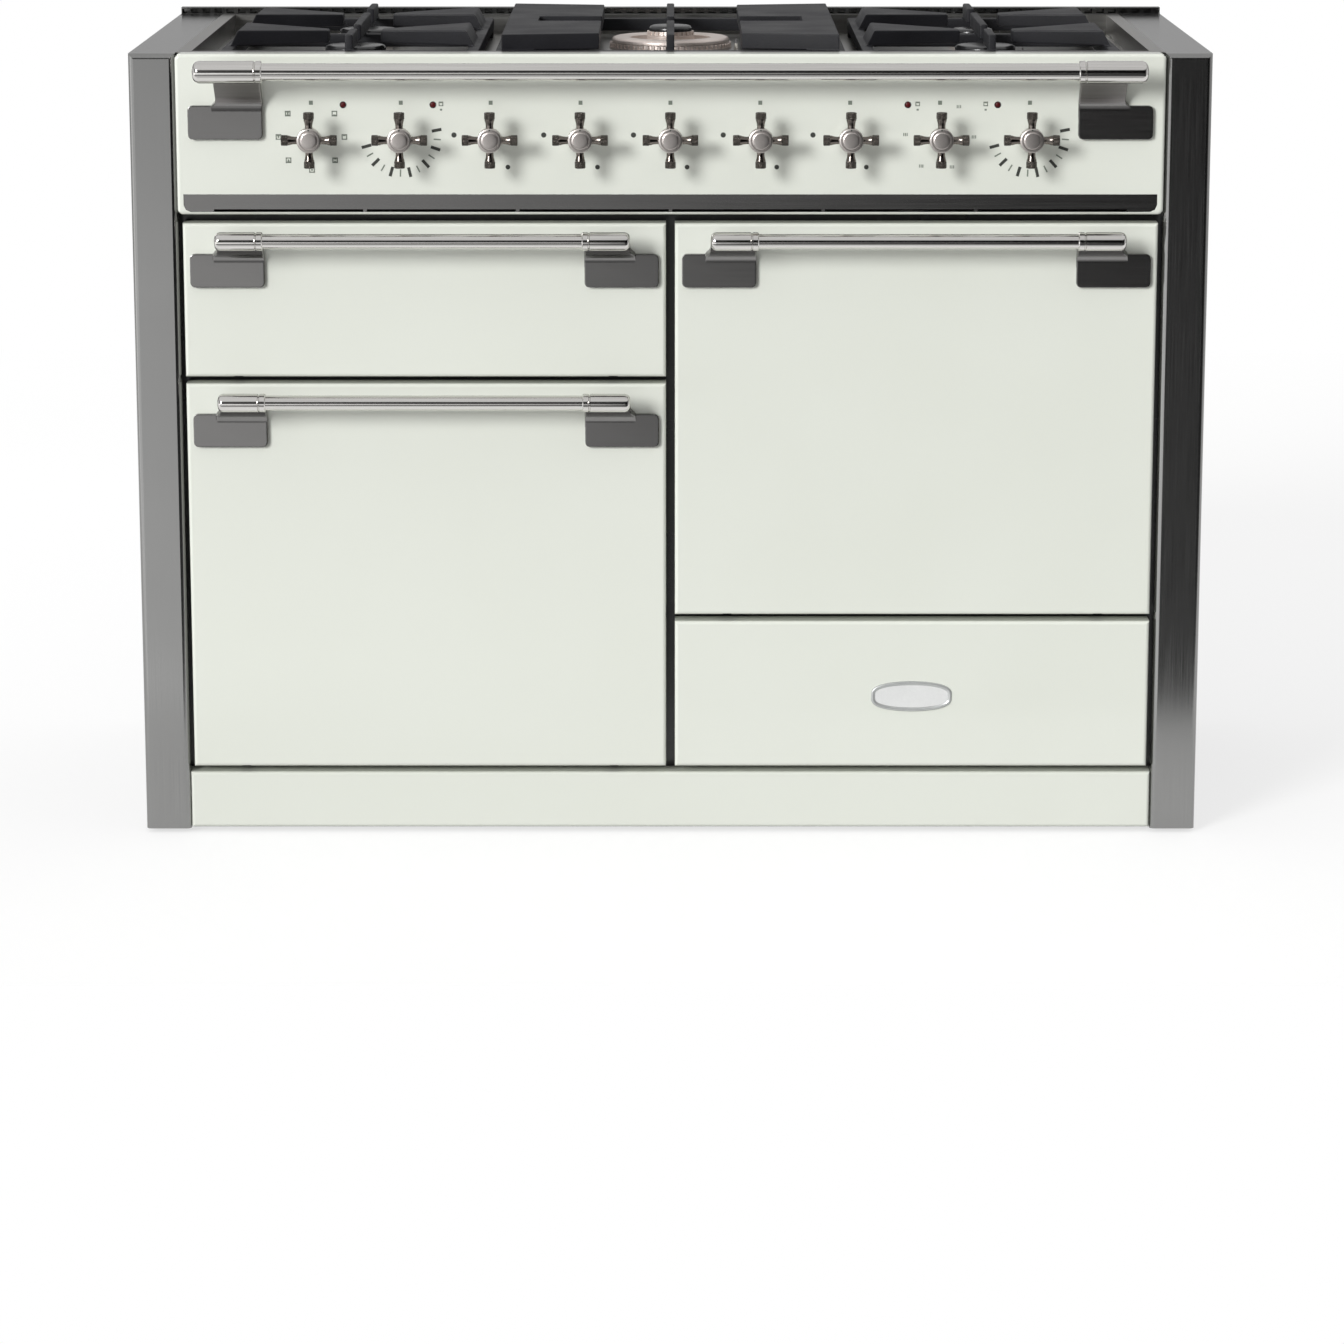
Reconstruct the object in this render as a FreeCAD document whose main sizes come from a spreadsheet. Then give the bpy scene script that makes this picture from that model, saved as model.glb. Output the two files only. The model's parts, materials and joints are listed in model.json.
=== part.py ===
"""Dual fuel range cooker: five gas burners over a broiler, two ovens and a storage drawer.

Millimetres, +Z up, front towards -Y, origin on the floor under the middle of the footprint.
"""
import FreeCAD
import Part
import os
import re
import Sketcher
from FreeCAD import Placement, Rotation, Vector

SIZES = {
    # Cabinet
    "range_width": 1215,
    "worktop_height": 899,
    "cabinet_depth": 600,
    "side_panel_width": 52,
    "side_panel_radius": 6,
    "panel_floor_gap": 5,
    "panel_sheet": 1.2,
    "base_depth": 30,
    "foot_radius": 22,
    "foot_stem_radius": 6,
    "foot_inset": 70,
    # Front layout
    "plinth_floor_gap": 6,
    "plinth_height": 66,
    "plinth_setback": 2,
    "door_gap": 8,
    "edge_gap": 5.5,
    "centre_gap": 10,
    "drawer_height": 171,
    "broiler_door_height": 174.5,
    "fascia_height": 180,
    "fascia_gap": 10,
    "fascia_depth": 26,
    "fascia_proud": 4,
    "fascia_play": 0.5,
    "fascia_corner": 6,
    # Doors
    "door_proud": 3,
    "door_depth": 30,
    "door_sheet": 1.5,
    "door_edge_radius": 4,
    "liner_sheet": 1.2,
    "liner_play": 0.3,
    "plug_depth": 12,
    "plug_play": 8,
    "seal_thickness": 4.7,
    "seal_gap": 0.3,
    "seal_width": 10,
    "seal_margin": 4,
    # Front frame and its apertures
    "frame_bar": 6,
    "aperture_side": 45,
    "aperture_foot": 38,
    "aperture_head": 28,
    "drawer_margin": 10,
    # Door hinges
    "hinge_setback": 10,
    "hinge_rise": 10,
    "hinge_inset": 60,
    "hinge_arm_width": 8,
    "hinge_eye_radius": 5.5,
    "hinge_pin_radius": 3,
    "hinge_pin_fit": 0.05,
    "hinge_side_play": 1,
    "hinge_notch_play": 2,
    "ear_sheet": 3,
    "leaf_sheet": 2,
    # Door handles
    "handle_drop": 15,
    "handle_standoff": 45,
    "handle_bar_radius": 8.5,
    "handle_ferrule_radius": 10.5,
    "handle_ferrule_length": 54,
    "handle_end_inset": 40,
    "handle_plate_drop": 19,
    "handle_plate_inset": 8,
    # Front rail
    "rail_drop": 16,
    "rail_standoff": 48,
    "rail_bar_radius": 9.75,
    "rail_ferrule_radius": 12.5,
    "rail_ferrule_length": 77,
    "rail_end_inset": 25,
    "rail_plate_drop": 41,
    "rail_plate_inset": 14,
    # Brackets of rail and handles
    "bracket_width": 84,
    "bracket_height": 38,
    "bracket_sheet": 6,
    "bracket_corner": 6,
    "neck_width": 52,
    "neck_height": 12,
    # Knobs
    "knob_drop": 92.5,
    "knob_end_inset": 152.2,
    "knob_standoff": 38,
    "knob_hub_radius": 13.75,
    "knob_hub_length": 16,
    "knob_span": 62,
    "knob_arm_end": 5.4,
    "knob_barrel_radius": 6,
    "knob_barrel_length": 7.5,
    "spindle_radius": 4,
    "spindle_fit": 0.05,
    "spindle_hole_play": 2,
    "push_travel": 4,
    # Taps and switches behind the fascia
    "tap_neck_radius": 11,
    "tap_neck_length": 14,
    "tap_width": 30,
    "tap_height": 36,
    "tap_depth": 40,
    "core_radius": 7,
    "core_length": 34,
    "core_grip": 14,
    "switch_width": 44,
    "switch_depth": 28,
    "lens_radius": 3.2,
    "lens_rise": 1.2,
    "lens_offset": 36,
    # Vent trim under the fascia
    "vent_height": 20,
    "vent_lip": 3,
    "vent_end_inset": 7,
    "vent_corner": 8,
    "vent_overlap": 4,
    "vent_sheet": 2,
    "vent_slot_height": 3,
    "vent_bridge": 4,
    "vent_slot_length": 168,
    # Hob
    "tray_sheet": 1.5,
    "hob_recess": 23.5,
    "rim_width": 16,
    "burner_spacing": 240,
    "burner_radius": 38,
    "simmer_radius": 28,
    "wok_radius": 72,
    "wok_ring_width": 24,
    "burner_height": 13,
    "burner_neck_radius": 15,
    "burner_cap_inset": 3,
    "burner_cap_height": 7,
    "cup_radius": 24,
    "cup_height": 34,
    "electrode_radius": 2.5,
    "electrode_gap": 3,
    "port_width": 2.2,
    "port_depth": 4,
    "pipe_radius": 4,
    "manifold_side": 18,
    "inlet_radius": 10.48,
    "inlet_length": 30,
    "inlet_pipe_radius": 8,
    "inlet_x": 300,
    "inlet_play": 14,
    # Pan supports
    "support_rise": 17,
    "support_bar": 14,
    "support_frame_height": 15,
    "finger_height": 18,
    "finger_width": 9,
    "finger_reach": 30,
    "wing_root": 118,
    "wing_tip": 26,
    "side_support_width": 293,
    "centre_support_width": 396,
    "support_gap": 19,
    "support_front": 48,
    "support_rear": 50,
    "plate_width": 117,
    "plate_notch": 70,
    "plate_notch_reach": 74,
    # Rear vent
    "rear_vent_depth": 14,
    "rear_vent_skirt": 24,
    "rear_vent_rise": 8,
    "rear_slot_width": 24,
    "rear_slot_height": 5,
    "rear_slot_pitch": 29.2,
    # Ovens and broiler
    "oven_depth": 420,
    "broiler_depth": 400,
    "oven_sheet": 1.2,
    "guide_sheet": 1.2,
    "guide_ledge": 11,
    "guide_pitch": 82,
    "guide_first": 62,
    "guide_front": 30,
    "guide_back": 90,
    "rack_bar": 6,
    "rack_wire": 4,
    "rack_wire_pitch": 40,
    "rack_side_play": 4,
    "fan_cover_width": 300,
    "fan_cover_depth": 42,
    "fan_cover_sheet": 1,
    "fan_radius": 72,
    "fan_blade_depth": 20,
    "fan_disc_sheet": 1.5,
    "fan_hub_radius": 12,
    "fan_shaft_radius": 4,
    "fan_shaft_fit": 0.05,
    "fan_wall_gap": 8,
    "motor_radius": 38,
    "motor_length": 62,
    "shaft_hole_play": 3,
    "ring_radius": 96,
    "element_radius": 3.6,
    "broiler_element_drop": 24,
    "broiler_element_pitch": 56,
    "broiler_element_front": 60,
    "broiler_pan_height": 26,
    "broiler_pan_rise": 14,
    "broiler_pan_flange": 12,
    "broiler_pan_front": 40,
    "broiler_pan_back": 60,
    # Storage drawer
    "drawer_sheet": 1.2,
    "drawer_depth": 470,
    "drawer_side_gap": 14,
    "drawer_box_height": 118,
    "drawer_box_rise": 6,
    "runner_sheet": 2,
    "runner_ledge": 18,
    "runner_web": 22,
    "runner_gap": 0.3,
    # Back panel
    "louvre_length": 90,
    "louvre_height": 6,
    "louvre_pitch": 120,
    "anti_tip_hole_radius": 2.75,
    "anti_tip_spacing": 60,
    "anti_tip_drop": 60,
}

# Places worked out from the sizes, in the order in which they depend on each other
PLACES = {
    "half_width": "range_width / 2",
    "inner_half": "half_width - side_panel_width",
    "front_reach": "fascia_proud + rail_standoff + rail_ferrule_radius",
    "front_y": "(front_reach - cabinet_depth) / 2",
    "back_y": "front_y + cabinet_depth",
    "panel_back_y": "back_y - rear_vent_depth",
    "fascia_face_y": "front_y - fascia_proud",
    "fascia_back_y": "fascia_face_y + fascia_depth",
    "fascia_base_z": "worktop_height - fascia_height",
    "fascia_half": "inner_half - fascia_play",
    "plinth_top_z": "plinth_floor_gap + plinth_height",
    "door_width": "(2 * inner_half - centre_gap - 2 * edge_gap) / 2",
    "column_x": "(door_width + centre_gap) / 2",
    "door_base_z": "plinth_top_z + door_gap",
    "door_top_z": "fascia_base_z - fascia_gap",
    "broiler_base_z": "door_top_z - broiler_door_height",
    "left_oven_top_z": "broiler_base_z - door_gap",
    "drawer_top_z": "door_base_z + drawer_height",
    "right_oven_base_z": "drawer_top_z + door_gap",
    "door_face_y": "front_y - door_proud",
    "door_back_y": "door_face_y + door_depth",
    "frame_y": "door_back_y + seal_gap + seal_thickness",
    "frame_back_y": "frame_y + frame_bar",
    "aperture_half": "door_width / 2 - aperture_side",
    "oven_back_y": "frame_back_y + oven_depth",
    "broiler_back_y": "frame_back_y + broiler_depth",
    "pivot_y": "door_face_y + hinge_setback",
    "notch_half": "hinge_arm_width / 2 + hinge_side_play",
    "rim_top_z": "worktop_height",
    "tray_floor_z": "rim_top_z - hob_recess",
    "tray_under_z": "tray_floor_z - tray_sheet",
    "support_front_y": "front_y + support_front",
    "support_rear_y": "panel_back_y - support_rear",
    "wok_burner_y": "(support_front_y + support_rear_y) / 2",
    "front_burner_y": "wok_burner_y - burner_spacing / 2",
    "rear_burner_y": "wok_burner_y + burner_spacing / 2",
    "side_burner_x": "(centre_support_width + side_support_width) / 2 + support_gap",
    "support_top_z": "worktop_height + support_rise",
    "support_frame_z": "support_top_z - finger_height",
    "knob_axis_z": "worktop_height - knob_drop",
    "knob_pitch": "(fascia_half - knob_end_inset) / 4",
    "tap_front_y": "fascia_face_y + door_sheet + tap_neck_length",
    "tap_back_y": "tap_front_y + tap_depth",
    "tap_pipe_y": "tap_front_y + tap_depth / 2",
    "core_front_y": "fascia_face_y + 2 * door_sheet",
    "spindle_end_y": "core_front_y + core_grip",
    "pipe_z": "tray_under_z - cup_height / 2",
    "drawer_box_z": "door_base_z + drawer_margin + drawer_box_rise",
    "drawer_half": "aperture_half - drawer_side_gap",
    "fan_mid_y": "oven_back_y - fan_wall_gap - fan_disc_sheet",
    "rail_z": "worktop_height - rail_drop",
}

doc = FreeCAD.newDocument("RangeCooker")
dims = doc.addObject("Spreadsheet::Sheet", "dims")
lay = doc.addObject("Spreadsheet::Sheet", "lay")
scratch = doc.addObject("Spreadsheet::Sheet", "scratch")
SHEET_OF = {name: "dims." for name in SIZES} | {name: "lay." for name in PLACES}


def formula(text):
    """Points every size name in an expression at the sheet that holds it."""
    return re.sub(r"[A-Za-z_]\w*", lambda word: SHEET_OF.get(word[0], "") + word[0], str(text))


def fill_sheets():
    """Writes the driving sizes as plain numbers and the places as formulas over them."""
    for row, (name, number) in enumerate(SIZES.items(), start=1):
        dims.set(f"A{row}", name)
        dims.set(f"B{row}", str(number))
        dims.setAlias(f"B{row}", name)
    doc.recompute()
    for row, (name, text) in enumerate(PLACES.items(), start=1):
        lay.set(f"A{row}", name)
        lay.set(f"B{row}", "=" + formula(text))
        lay.setAlias(f"B{row}", name)
        doc.recompute()


fill_sheets()


def value(text):
    """The number that an expression over the sizes comes to."""
    scratch.set("A1", "=" + formula(text))
    scratch.recompute()
    return float(scratch.get("A1"))


def bind(thing, prop, text):
    """Ties one property to an expression over the sizes."""
    thing.setExpression(prop, formula(text))


def seat(thing, x="0", y="0", z="0"):
    """Ties an object's place to the sizes."""
    for axis, text in zip("xyz", (x, y, z)):
        bind(thing, f"Placement.Base.{axis}", text)
    return thing


# Primitives and booleans

def box(name, x, y, z):
    """A block between a low and a high expression on each axis."""
    block = doc.addObject("Part::Box", name)
    for prop, (low, high) in zip(("Length", "Width", "Height"), (x, y, z)):
        bind(block, prop, f"({high}) - ({low})")
    return seat(block, x[0], y[0], z[0])


TURN_TO = {
    "x": Rotation(Vector(0, 1, 0), 90),
    "y": Rotation(Vector(1, 0, 0), -90),
    "z": Rotation(),
}


def rod(name, along, radius, length, x, y, z):
    """A round bar that starts at x, y, z and runs along one axis."""
    bar = doc.addObject("Part::Cylinder", name)
    bar.Placement = Placement(Vector(), TURN_TO[along])
    bind(bar, "Radius", radius)
    bind(bar, "Height", length)
    return seat(bar, x, y, z)


def prism(name, along, sides, apothem, length, x, y, z):
    """A many-sided bar with its flats square to the axes, given by its half-width across flats."""
    bar = doc.addObject("Part::Prism", name)
    bar.Placement = Placement(Vector(), TURN_TO[along] * Rotation(Vector(0, 0, 1), 180 / sides))
    bar.Polygon = sides
    bind(bar, "Circumradius", f"({apothem}) / cos({180 / sides})")
    bind(bar, "Height", length)
    return seat(bar, x, y, z)


def fuse(name, *shapes):
    joined = doc.addObject("Part::MultiFuse", name)
    joined.Shapes = list(shapes)
    return joined


def cut(name, base, *tools):
    """Takes one or more tools out of a base."""
    result = doc.addObject("Part::Cut", name)
    result.Base = base
    result.Tool = tools[0] if len(tools) == 1 else fuse(name + "_tools", *tools)
    return result


def group(name, *shapes):
    """Separate solids under one name."""
    gathered = doc.addObject("Part::Compound", name)
    gathered.Links = list(shapes)
    return gathered


def placed(name, source, x="0", y="0", z="0"):
    """A copy of a piece at another place."""
    return seat(group(name, source), x, y, z)


def mirrored(name, source):
    """The piece's left-to-right twin about x = 0."""
    twin = doc.addObject("Part::Mirroring", name)
    twin.Source = source
    twin.Normal = Vector(1, 0, 0)
    return twin


# Bodies with sketches and features

def new_body(name):
    return doc.addObject("PartDesign::Body", name)


def origin_part(body, role):
    return next(part for part in body.Origin.OriginFeatures if part.Role == role)


def sketch_on(body, name, plane, offset="0"):
    """An empty sketch on one of the body's planes, moved along that plane's normal."""
    sketch = body.newObject("Sketcher::SketchObject", name)
    sketch.AttachmentSupport = [(origin_part(body, plane), "")]
    sketch.MapMode = "FlatFace"
    bind(sketch, "AttachmentOffset.Base.z", offset)
    return sketch


def polygon(sketch, points):
    """A closed outline whose corners are tied to expressions."""
    corners = [Vector(value(x), value(y), 0) for x, y in points]
    first = sketch.GeometryCount
    count = len(corners)
    for index, corner in enumerate(corners):
        sketch.addGeometry(Part.LineSegment(corner, corners[(index + 1) % count]), False)
    for index, (x, y) in enumerate(points):
        line = first + index
        following = first + (index + 1) % count
        sketch.addConstraint(Sketcher.Constraint("Coincident", line, 2, following, 1))
        for kind, text in (("DistanceX", x), ("DistanceY", y)):
            size = Sketcher.Constraint(kind, -1, 1, line, 1, value(text))
            bind(sketch, f"Constraints[{sketch.addConstraint(size)}]", text)
    return sketch


def rectangle(sketch, x, y):
    return polygon(sketch, [(x[0], y[0]), (x[1], y[0]), (x[1], y[1]), (x[0], y[1])])


def circle(sketch, x, y, radius):
    """A circle tied to expressions for its centre and radius."""
    centre = Vector(value(x), value(y), 0)
    index = sketch.addGeometry(Part.Circle(centre, Vector(0, 0, 1), value(radius)), False)
    for kind, text in (("DistanceX", x), ("DistanceY", y)):
        size = Sketcher.Constraint(kind, -1, 1, index, 3, value(text))
        bind(sketch, f"Constraints[{sketch.addConstraint(size)}]", text)
    size = Sketcher.Constraint("Radius", index, value(radius))
    bind(sketch, f"Constraints[{sketch.addConstraint(size)}]", radius)
    return sketch


def octagon(sketch, x, y, apothem):
    """An eight-sided outline with its flats square to the axes, given by its half-width across flats."""
    corner = f"({apothem}) * tan(22.5)"
    flat = f"({apothem})"
    steps = [(flat, corner), (corner, flat), (f"-{corner}", flat), (f"-{flat}", corner),
             (f"-{flat}", f"-{corner}"), (f"-{corner}", f"-{flat}"), (corner, f"-{flat}"),
             (flat, f"-{corner}")]
    return polygon(sketch, [(f"{x} + {across}", f"{y} + {up}") for across, up in steps])


def pad(body, sketch, length, name, back=False):
    """Adds the sketch's area along its plane's normal, or against it."""
    feature = body.newObject("PartDesign::Pad", name)
    feature.Profile = sketch
    feature.Reversed = back
    bind(feature, "Length", length)
    doc.recompute()
    return feature


def pocket(body, sketch, depth, name, along=False):
    """Takes the sketch's area away against its plane's normal, or along it."""
    before = body.Shape.Volume
    feature = body.newObject("PartDesign::Pocket", name)
    feature.Profile = sketch
    feature.Reversed = along
    bind(feature, "Length", depth)
    doc.recompute()
    if body.Shape.Volume >= before:
        raise ValueError(f"{name} cuts nothing")
    return feature


def revolve(body, sketch, axis, name):
    """Turns the sketch's area about one of its own axes."""
    feature = body.newObject("PartDesign::Revolution", name)
    feature.Profile = sketch
    feature.ReferenceAxis = (sketch, [axis])
    feature.Angle = 360
    doc.recompute()
    return feature


def polar(body, feature, axis, count, name):
    """Repeats a feature round one of the body's axes."""
    pattern = body.newObject("PartDesign::PolarPattern", name)
    pattern.Originals = [feature]
    pattern.Axis = (origin_part(body, axis), [""])
    pattern.Angle = 360
    pattern.Occurrences = round(count)
    body.Tip = pattern
    doc.recompute()
    return pattern


def row(body, feature, axis, step, count, name):
    """Repeats a feature along one of the body's axes."""
    pattern = body.newObject("PartDesign::LinearPattern", name)
    pattern.Originals = [feature]
    pattern.Direction = (origin_part(body, axis), [""])
    pattern.Occurrences = count
    bind(pattern, "Length", f"({step}) * {count - 1}")
    body.Tip = pattern
    doc.recompute()
    return pattern


def fillet(body, pick, radius, name):
    """Rounds the edges of the body that the test picks out."""
    base = body.Tip
    names = [f"Edge{index}" for index, edge in enumerate(base.Shape.Edges, start=1) if pick(edge.BoundBox)]
    feature = body.newObject("PartDesign::Fillet", name)
    feature.Base = (base, names)
    bind(feature, "Radius", radius)
    doc.recompute()
    return feature


NEAR = 0.01


def at_low_y(y):
    """Picks edges that lie in the plane at y."""
    return lambda bounds: abs(bounds.YMin - y) < NEAR and abs(bounds.YMax - y) < NEAR


def along_y(bounds):
    """Picks edges that run from front to back."""
    return bounds.YMax - bounds.YMin > NEAR


# Cabinet

def side_panels():
    """Two folded steel pillars, hollow and open at the foot, with rounded front edges."""
    body = new_body("right_side_panel")
    foot = sketch_on(body, "right_side_panel_plan", "XY_Plane", "panel_floor_gap")
    rectangle(foot, ("inner_half", "half_width"), ("front_y", "panel_back_y"))
    pad(body, foot, "worktop_height - panel_floor_gap", "right_side_panel_block")
    front, foot_z = value("front_y"), value("panel_floor_gap")

    def rounded(bounds):
        return abs(bounds.YMax - front) < NEAR and abs(bounds.ZMax - foot_z) > NEAR

    fillet(body, rounded, "min(side_panel_radius; side_panel_width / 4)", "right_side_panel_edges")
    hollow = sketch_on(body, "right_side_panel_hollow", "XY_Plane", "panel_floor_gap")
    inner = ("inner_half + panel_sheet", "half_width - panel_sheet")
    near, far = "front_y + panel_sheet", "panel_back_y - panel_sheet"
    polygon(hollow, [
        (f"{inner[0]} + side_panel_radius", near),
        (f"{inner[1]} - side_panel_radius", near),
        (inner[1], f"{near} + side_panel_radius"),
        (inner[1], far),
        (inner[0], far),
        (inner[0], f"{near} + side_panel_radius"),
    ])
    depth = "worktop_height - panel_floor_gap - panel_sheet - side_panel_radius"
    pocket(body, hollow, depth, "right_side_panel_inside", along=True)
    return group("side_panels", body, mirrored("left_side_panel", body))


def back_panel():
    """Rear sheet with cooling louvres, the gas inlet opening and the anti-tip bracket's holes."""
    body = new_body("back_panel")
    outline = sketch_on(body, "back_panel_outline", "XZ_Plane", "-panel_back_y")
    rectangle(outline, ("-inner_half", "inner_half"),
              ("plinth_top_z - base_depth", "rim_top_z - tray_sheet"))
    pad(body, outline, "panel_sheet", "back_panel_sheet")
    slot = sketch_on(body, "back_panel_louvre", "XZ_Plane", "panel_sheet - panel_back_y")
    low = "plinth_top_z + 3 * louvre_pitch"
    rectangle(slot, ("-2 * louvre_pitch - louvre_length / 2", "-2 * louvre_pitch + louvre_length / 2"),
              (low, f"{low} + louvre_height"))
    cutout = pocket(body, slot, "panel_sheet * 2", "back_panel_first_louvre")
    row(body, cutout, "X_Axis", "louvre_pitch", 5, "back_panel_louvres")
    holes = sketch_on(body, "back_panel_holes", "XZ_Plane", "panel_sheet - panel_back_y")
    octagon(holes, "inlet_x", "knob_axis_z", "inlet_radius + inlet_play")
    for side in ("-1", "1"):
        circle(holes, f"{side} * anti_tip_spacing / 2",
               "worktop_height - rear_vent_skirt - anti_tip_drop", "anti_tip_hole_radius")
    pocket(body, holes, "panel_sheet * 2", "back_panel_openings")
    return body


def base_tray():
    """Floor of the cabinet, folded down all round."""
    body = new_body("base_tray")
    outline = sketch_on(body, "base_tray_outline", "XY_Plane", "plinth_top_z")
    rear = "panel_back_y - panel_sheet"
    rectangle(outline, ("-inner_half", "inner_half"), ("frame_y", rear))
    pad(body, outline, "base_depth", "base_tray_block", back=True)
    hollow = sketch_on(body, "base_tray_hollow", "XY_Plane", "plinth_top_z - base_depth")
    rectangle(hollow, ("-inner_half + panel_sheet", "inner_half - panel_sheet"),
              ("frame_y + panel_sheet", f"{rear} - panel_sheet"))
    pocket(body, hollow, "base_depth - panel_sheet", "base_tray_inside", along=True)
    return body


def levelling_feet():
    """Four screw feet under the base tray: a twelve-sided pad and a hexagon stem."""
    pad_height = "foot_radius / 3"
    disc = prism("foot_pad", "z", 12, "foot_radius", pad_height, "0", "0", "0")
    stem = prism("foot_stem", "z", 6, "foot_stem_radius", f"plinth_top_z - panel_sheet - {pad_height}",
                 "0", "0", pad_height)
    foot = fuse("levelling_foot", disc, stem)
    corners = []
    for x_name, x in (("left", "foot_inset - inner_half"), ("right", "inner_half - foot_inset")):
        for y_name, y in (("front", "frame_y + foot_inset"), ("rear", "panel_back_y - foot_inset")):
            corners.append(placed(f"{y_name}_{x_name}_foot", foot, x, y))
    return group("levelling_feet", *corners)


def plinth():
    """Enamelled kick plate, folded back to the base tray."""
    body = new_body("plinth")
    face = "front_y + plinth_setback"
    outline = sketch_on(body, "plinth_outline", "XZ_Plane", "-frame_y")
    rectangle(outline, ("-fascia_half", "fascia_half"), ("plinth_floor_gap", "plinth_top_z"))
    pad(body, outline, f"frame_y - ({face})", "plinth_block")
    fillet(body, at_low_y(value(face)), "min(door_edge_radius; 3 * door_sheet)", "plinth_edges")
    hollow = sketch_on(body, "plinth_hollow", "XZ_Plane", "-frame_y")
    rectangle(hollow, ("door_sheet - fascia_half", "fascia_half - door_sheet"),
              ("plinth_floor_gap + door_sheet", "plinth_top_z - door_sheet"))
    pocket(body, hollow, f"frame_y - ({face}) - door_sheet", "plinth_inside", along=True)
    return body


def front_frame():
    """Black frame behind the doors: three stiles, the rails between them and the hinge arms."""
    depth = ("frame_y", "frame_back_y")
    tall = ("plinth_top_z", "fascia_base_z")
    near, far = "column_x - aperture_half", "column_x + aperture_half"
    broiler_gap = ("left_oven_top_z - aperture_head", "broiler_base_z + aperture_foot")
    drawer_gap = ("drawer_top_z - drawer_margin", "right_oven_base_z + aperture_foot")
    crown = ("door_top_z - aperture_head", "fascia_base_z")
    left = (f"-({far})", f"-({near})")
    right = (near, far)
    bars = [
        box("left_stile", ("-inner_half", f"-({far})"), depth, tall),
        box("centre_stile", (f"-({near})", near), depth, tall),
        box("right_stile", (far, "inner_half"), depth, tall),
        box("left_foot_rail", left, depth, ("plinth_top_z", "door_base_z + aperture_foot")),
        box("left_middle_rail", left, depth, broiler_gap),
        box("left_head_rail", left, depth, crown),
        box("right_foot_rail", right, depth, ("plinth_top_z", "door_base_z + drawer_margin")),
        box("right_middle_rail", right, depth, drawer_gap),
        box("right_head_rail", right, depth, crown),
    ]
    for door, (centre, low, _) in DOORS.items():
        bars += hinge_arms(door, centre, low)
    return group("front_frame", *bars)


# Doors: name, middle in x, lower and upper edge

DOORS = {
    "broiler": ("-column_x", "broiler_base_z", "door_top_z"),
    "left_oven": ("-column_x", "door_base_z", "left_oven_top_z"),
    "right_oven": ("column_x", "right_oven_base_z", "door_top_z"),
}


def hinge_places(centre):
    """The two hinge stations of a door, as offsets either side of its middle."""
    for side, sign in (("left", "-"), ("right", "+")):
        yield side, f"{centre} {sign} (door_width / 2 - hinge_inset)"


def hinge_arms(door, centre, low):
    """Fixed arms, eight-sided round the bore that takes each hinge pin."""
    arms = []
    pivot_z = f"{low} + hinge_rise"
    for side, middle in hinge_places(centre):
        name = f"{door}_{side}_hinge_arm"
        start = f"{middle} - hinge_arm_width / 2"
        end = f"{middle} + hinge_arm_width / 2"
        blade = box(name + "_blade", (start, end), ("pivot_y", "frame_y"),
                    (f"{pivot_z} - hinge_eye_radius", f"{pivot_z} + hinge_eye_radius"))
        eye = prism(name + "_eye", "x", 8, "hinge_eye_radius", "hinge_arm_width", start, "pivot_y", pivot_z)
        bore = prism(name + "_bore", "x", 8, "hinge_pin_radius + hinge_pin_fit", "hinge_arm_width",
                     start, "pivot_y", pivot_z)
        arms.append(cut(name, fuse(name + "_blank", blade, eye), bore))
    return arms


def hinge_leaves(door, centre, low):
    """Door-side hinge leaves: a plate on the skin, two ears and the pin between them."""
    leaves = []
    pivot_z = f"{low} + hinge_rise"
    inside = "door_face_y + door_sheet"
    reach = "pivot_y + hinge_eye_radius"
    rise = (f"{pivot_z} - hinge_eye_radius", f"{pivot_z} + hinge_eye_radius")
    for side, middle in hinge_places(centre):
        name = f"{door}_{side}_hinge_leaf"
        outer = "(notch_half + ear_sheet)"
        left, right = f"{middle} - {outer}", f"{middle} + {outer}"
        plate = box(name + "_plate", (left, right), (inside, f"{inside} + leaf_sheet"), rise)
        near_ear = box(name + "_near_ear", (left, f"{middle} - notch_half"), (inside, reach), rise)
        far_ear = box(name + "_far_ear", (f"{middle} + notch_half", right), (inside, reach), rise)
        pin = rod(name + "_pin", "x", "hinge_pin_radius", "2 * notch_half + ear_sheet",
                  f"{middle} - notch_half - ear_sheet / 2", "pivot_y", pivot_z)
        leaves.append(fuse(name, plate, near_ear, far_ear, pin))
    return leaves


def notches(body, name, centre, low, plane_y, depth):
    """Openings at the door's foot through which the hinge arms pass."""
    sketch = sketch_on(body, name + "_notch_outline", "XZ_Plane", f"-({plane_y})")
    for _, middle in hinge_places(centre):
        rectangle(sketch, (f"{middle} - notch_half", f"{middle} + notch_half"),
                  (f"{low} - hinge_notch_play", f"{low} + hinge_rise + hinge_eye_radius + hinge_notch_play"))
    pocket(body, sketch, depth, name + "_notches", along=True)


def front_tray(name, centre, low, high):
    """Pressed enamel front with rounded edges, open at the back."""
    body = new_body(name)
    sides = (f"{centre} - door_width / 2", f"{centre} + door_width / 2")
    outline = sketch_on(body, name + "_outline", "XZ_Plane", "-door_back_y")
    rectangle(outline, sides, (low, high))
    pad(body, outline, "door_depth", name + "_block")
    fillet(body, at_low_y(value("door_face_y")), "min(door_edge_radius; 3 * door_sheet)", name + "_edges")
    hollow = sketch_on(body, name + "_hollow", "XZ_Plane", "-door_back_y")
    rectangle(hollow, (f"{sides[0]} + door_sheet", f"{sides[1]} - door_sheet"),
              (f"{low} + door_sheet", f"{high} - door_sheet"))
    pocket(body, hollow, "door_depth - door_sheet", name + "_inside", along=True)
    return body


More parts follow.
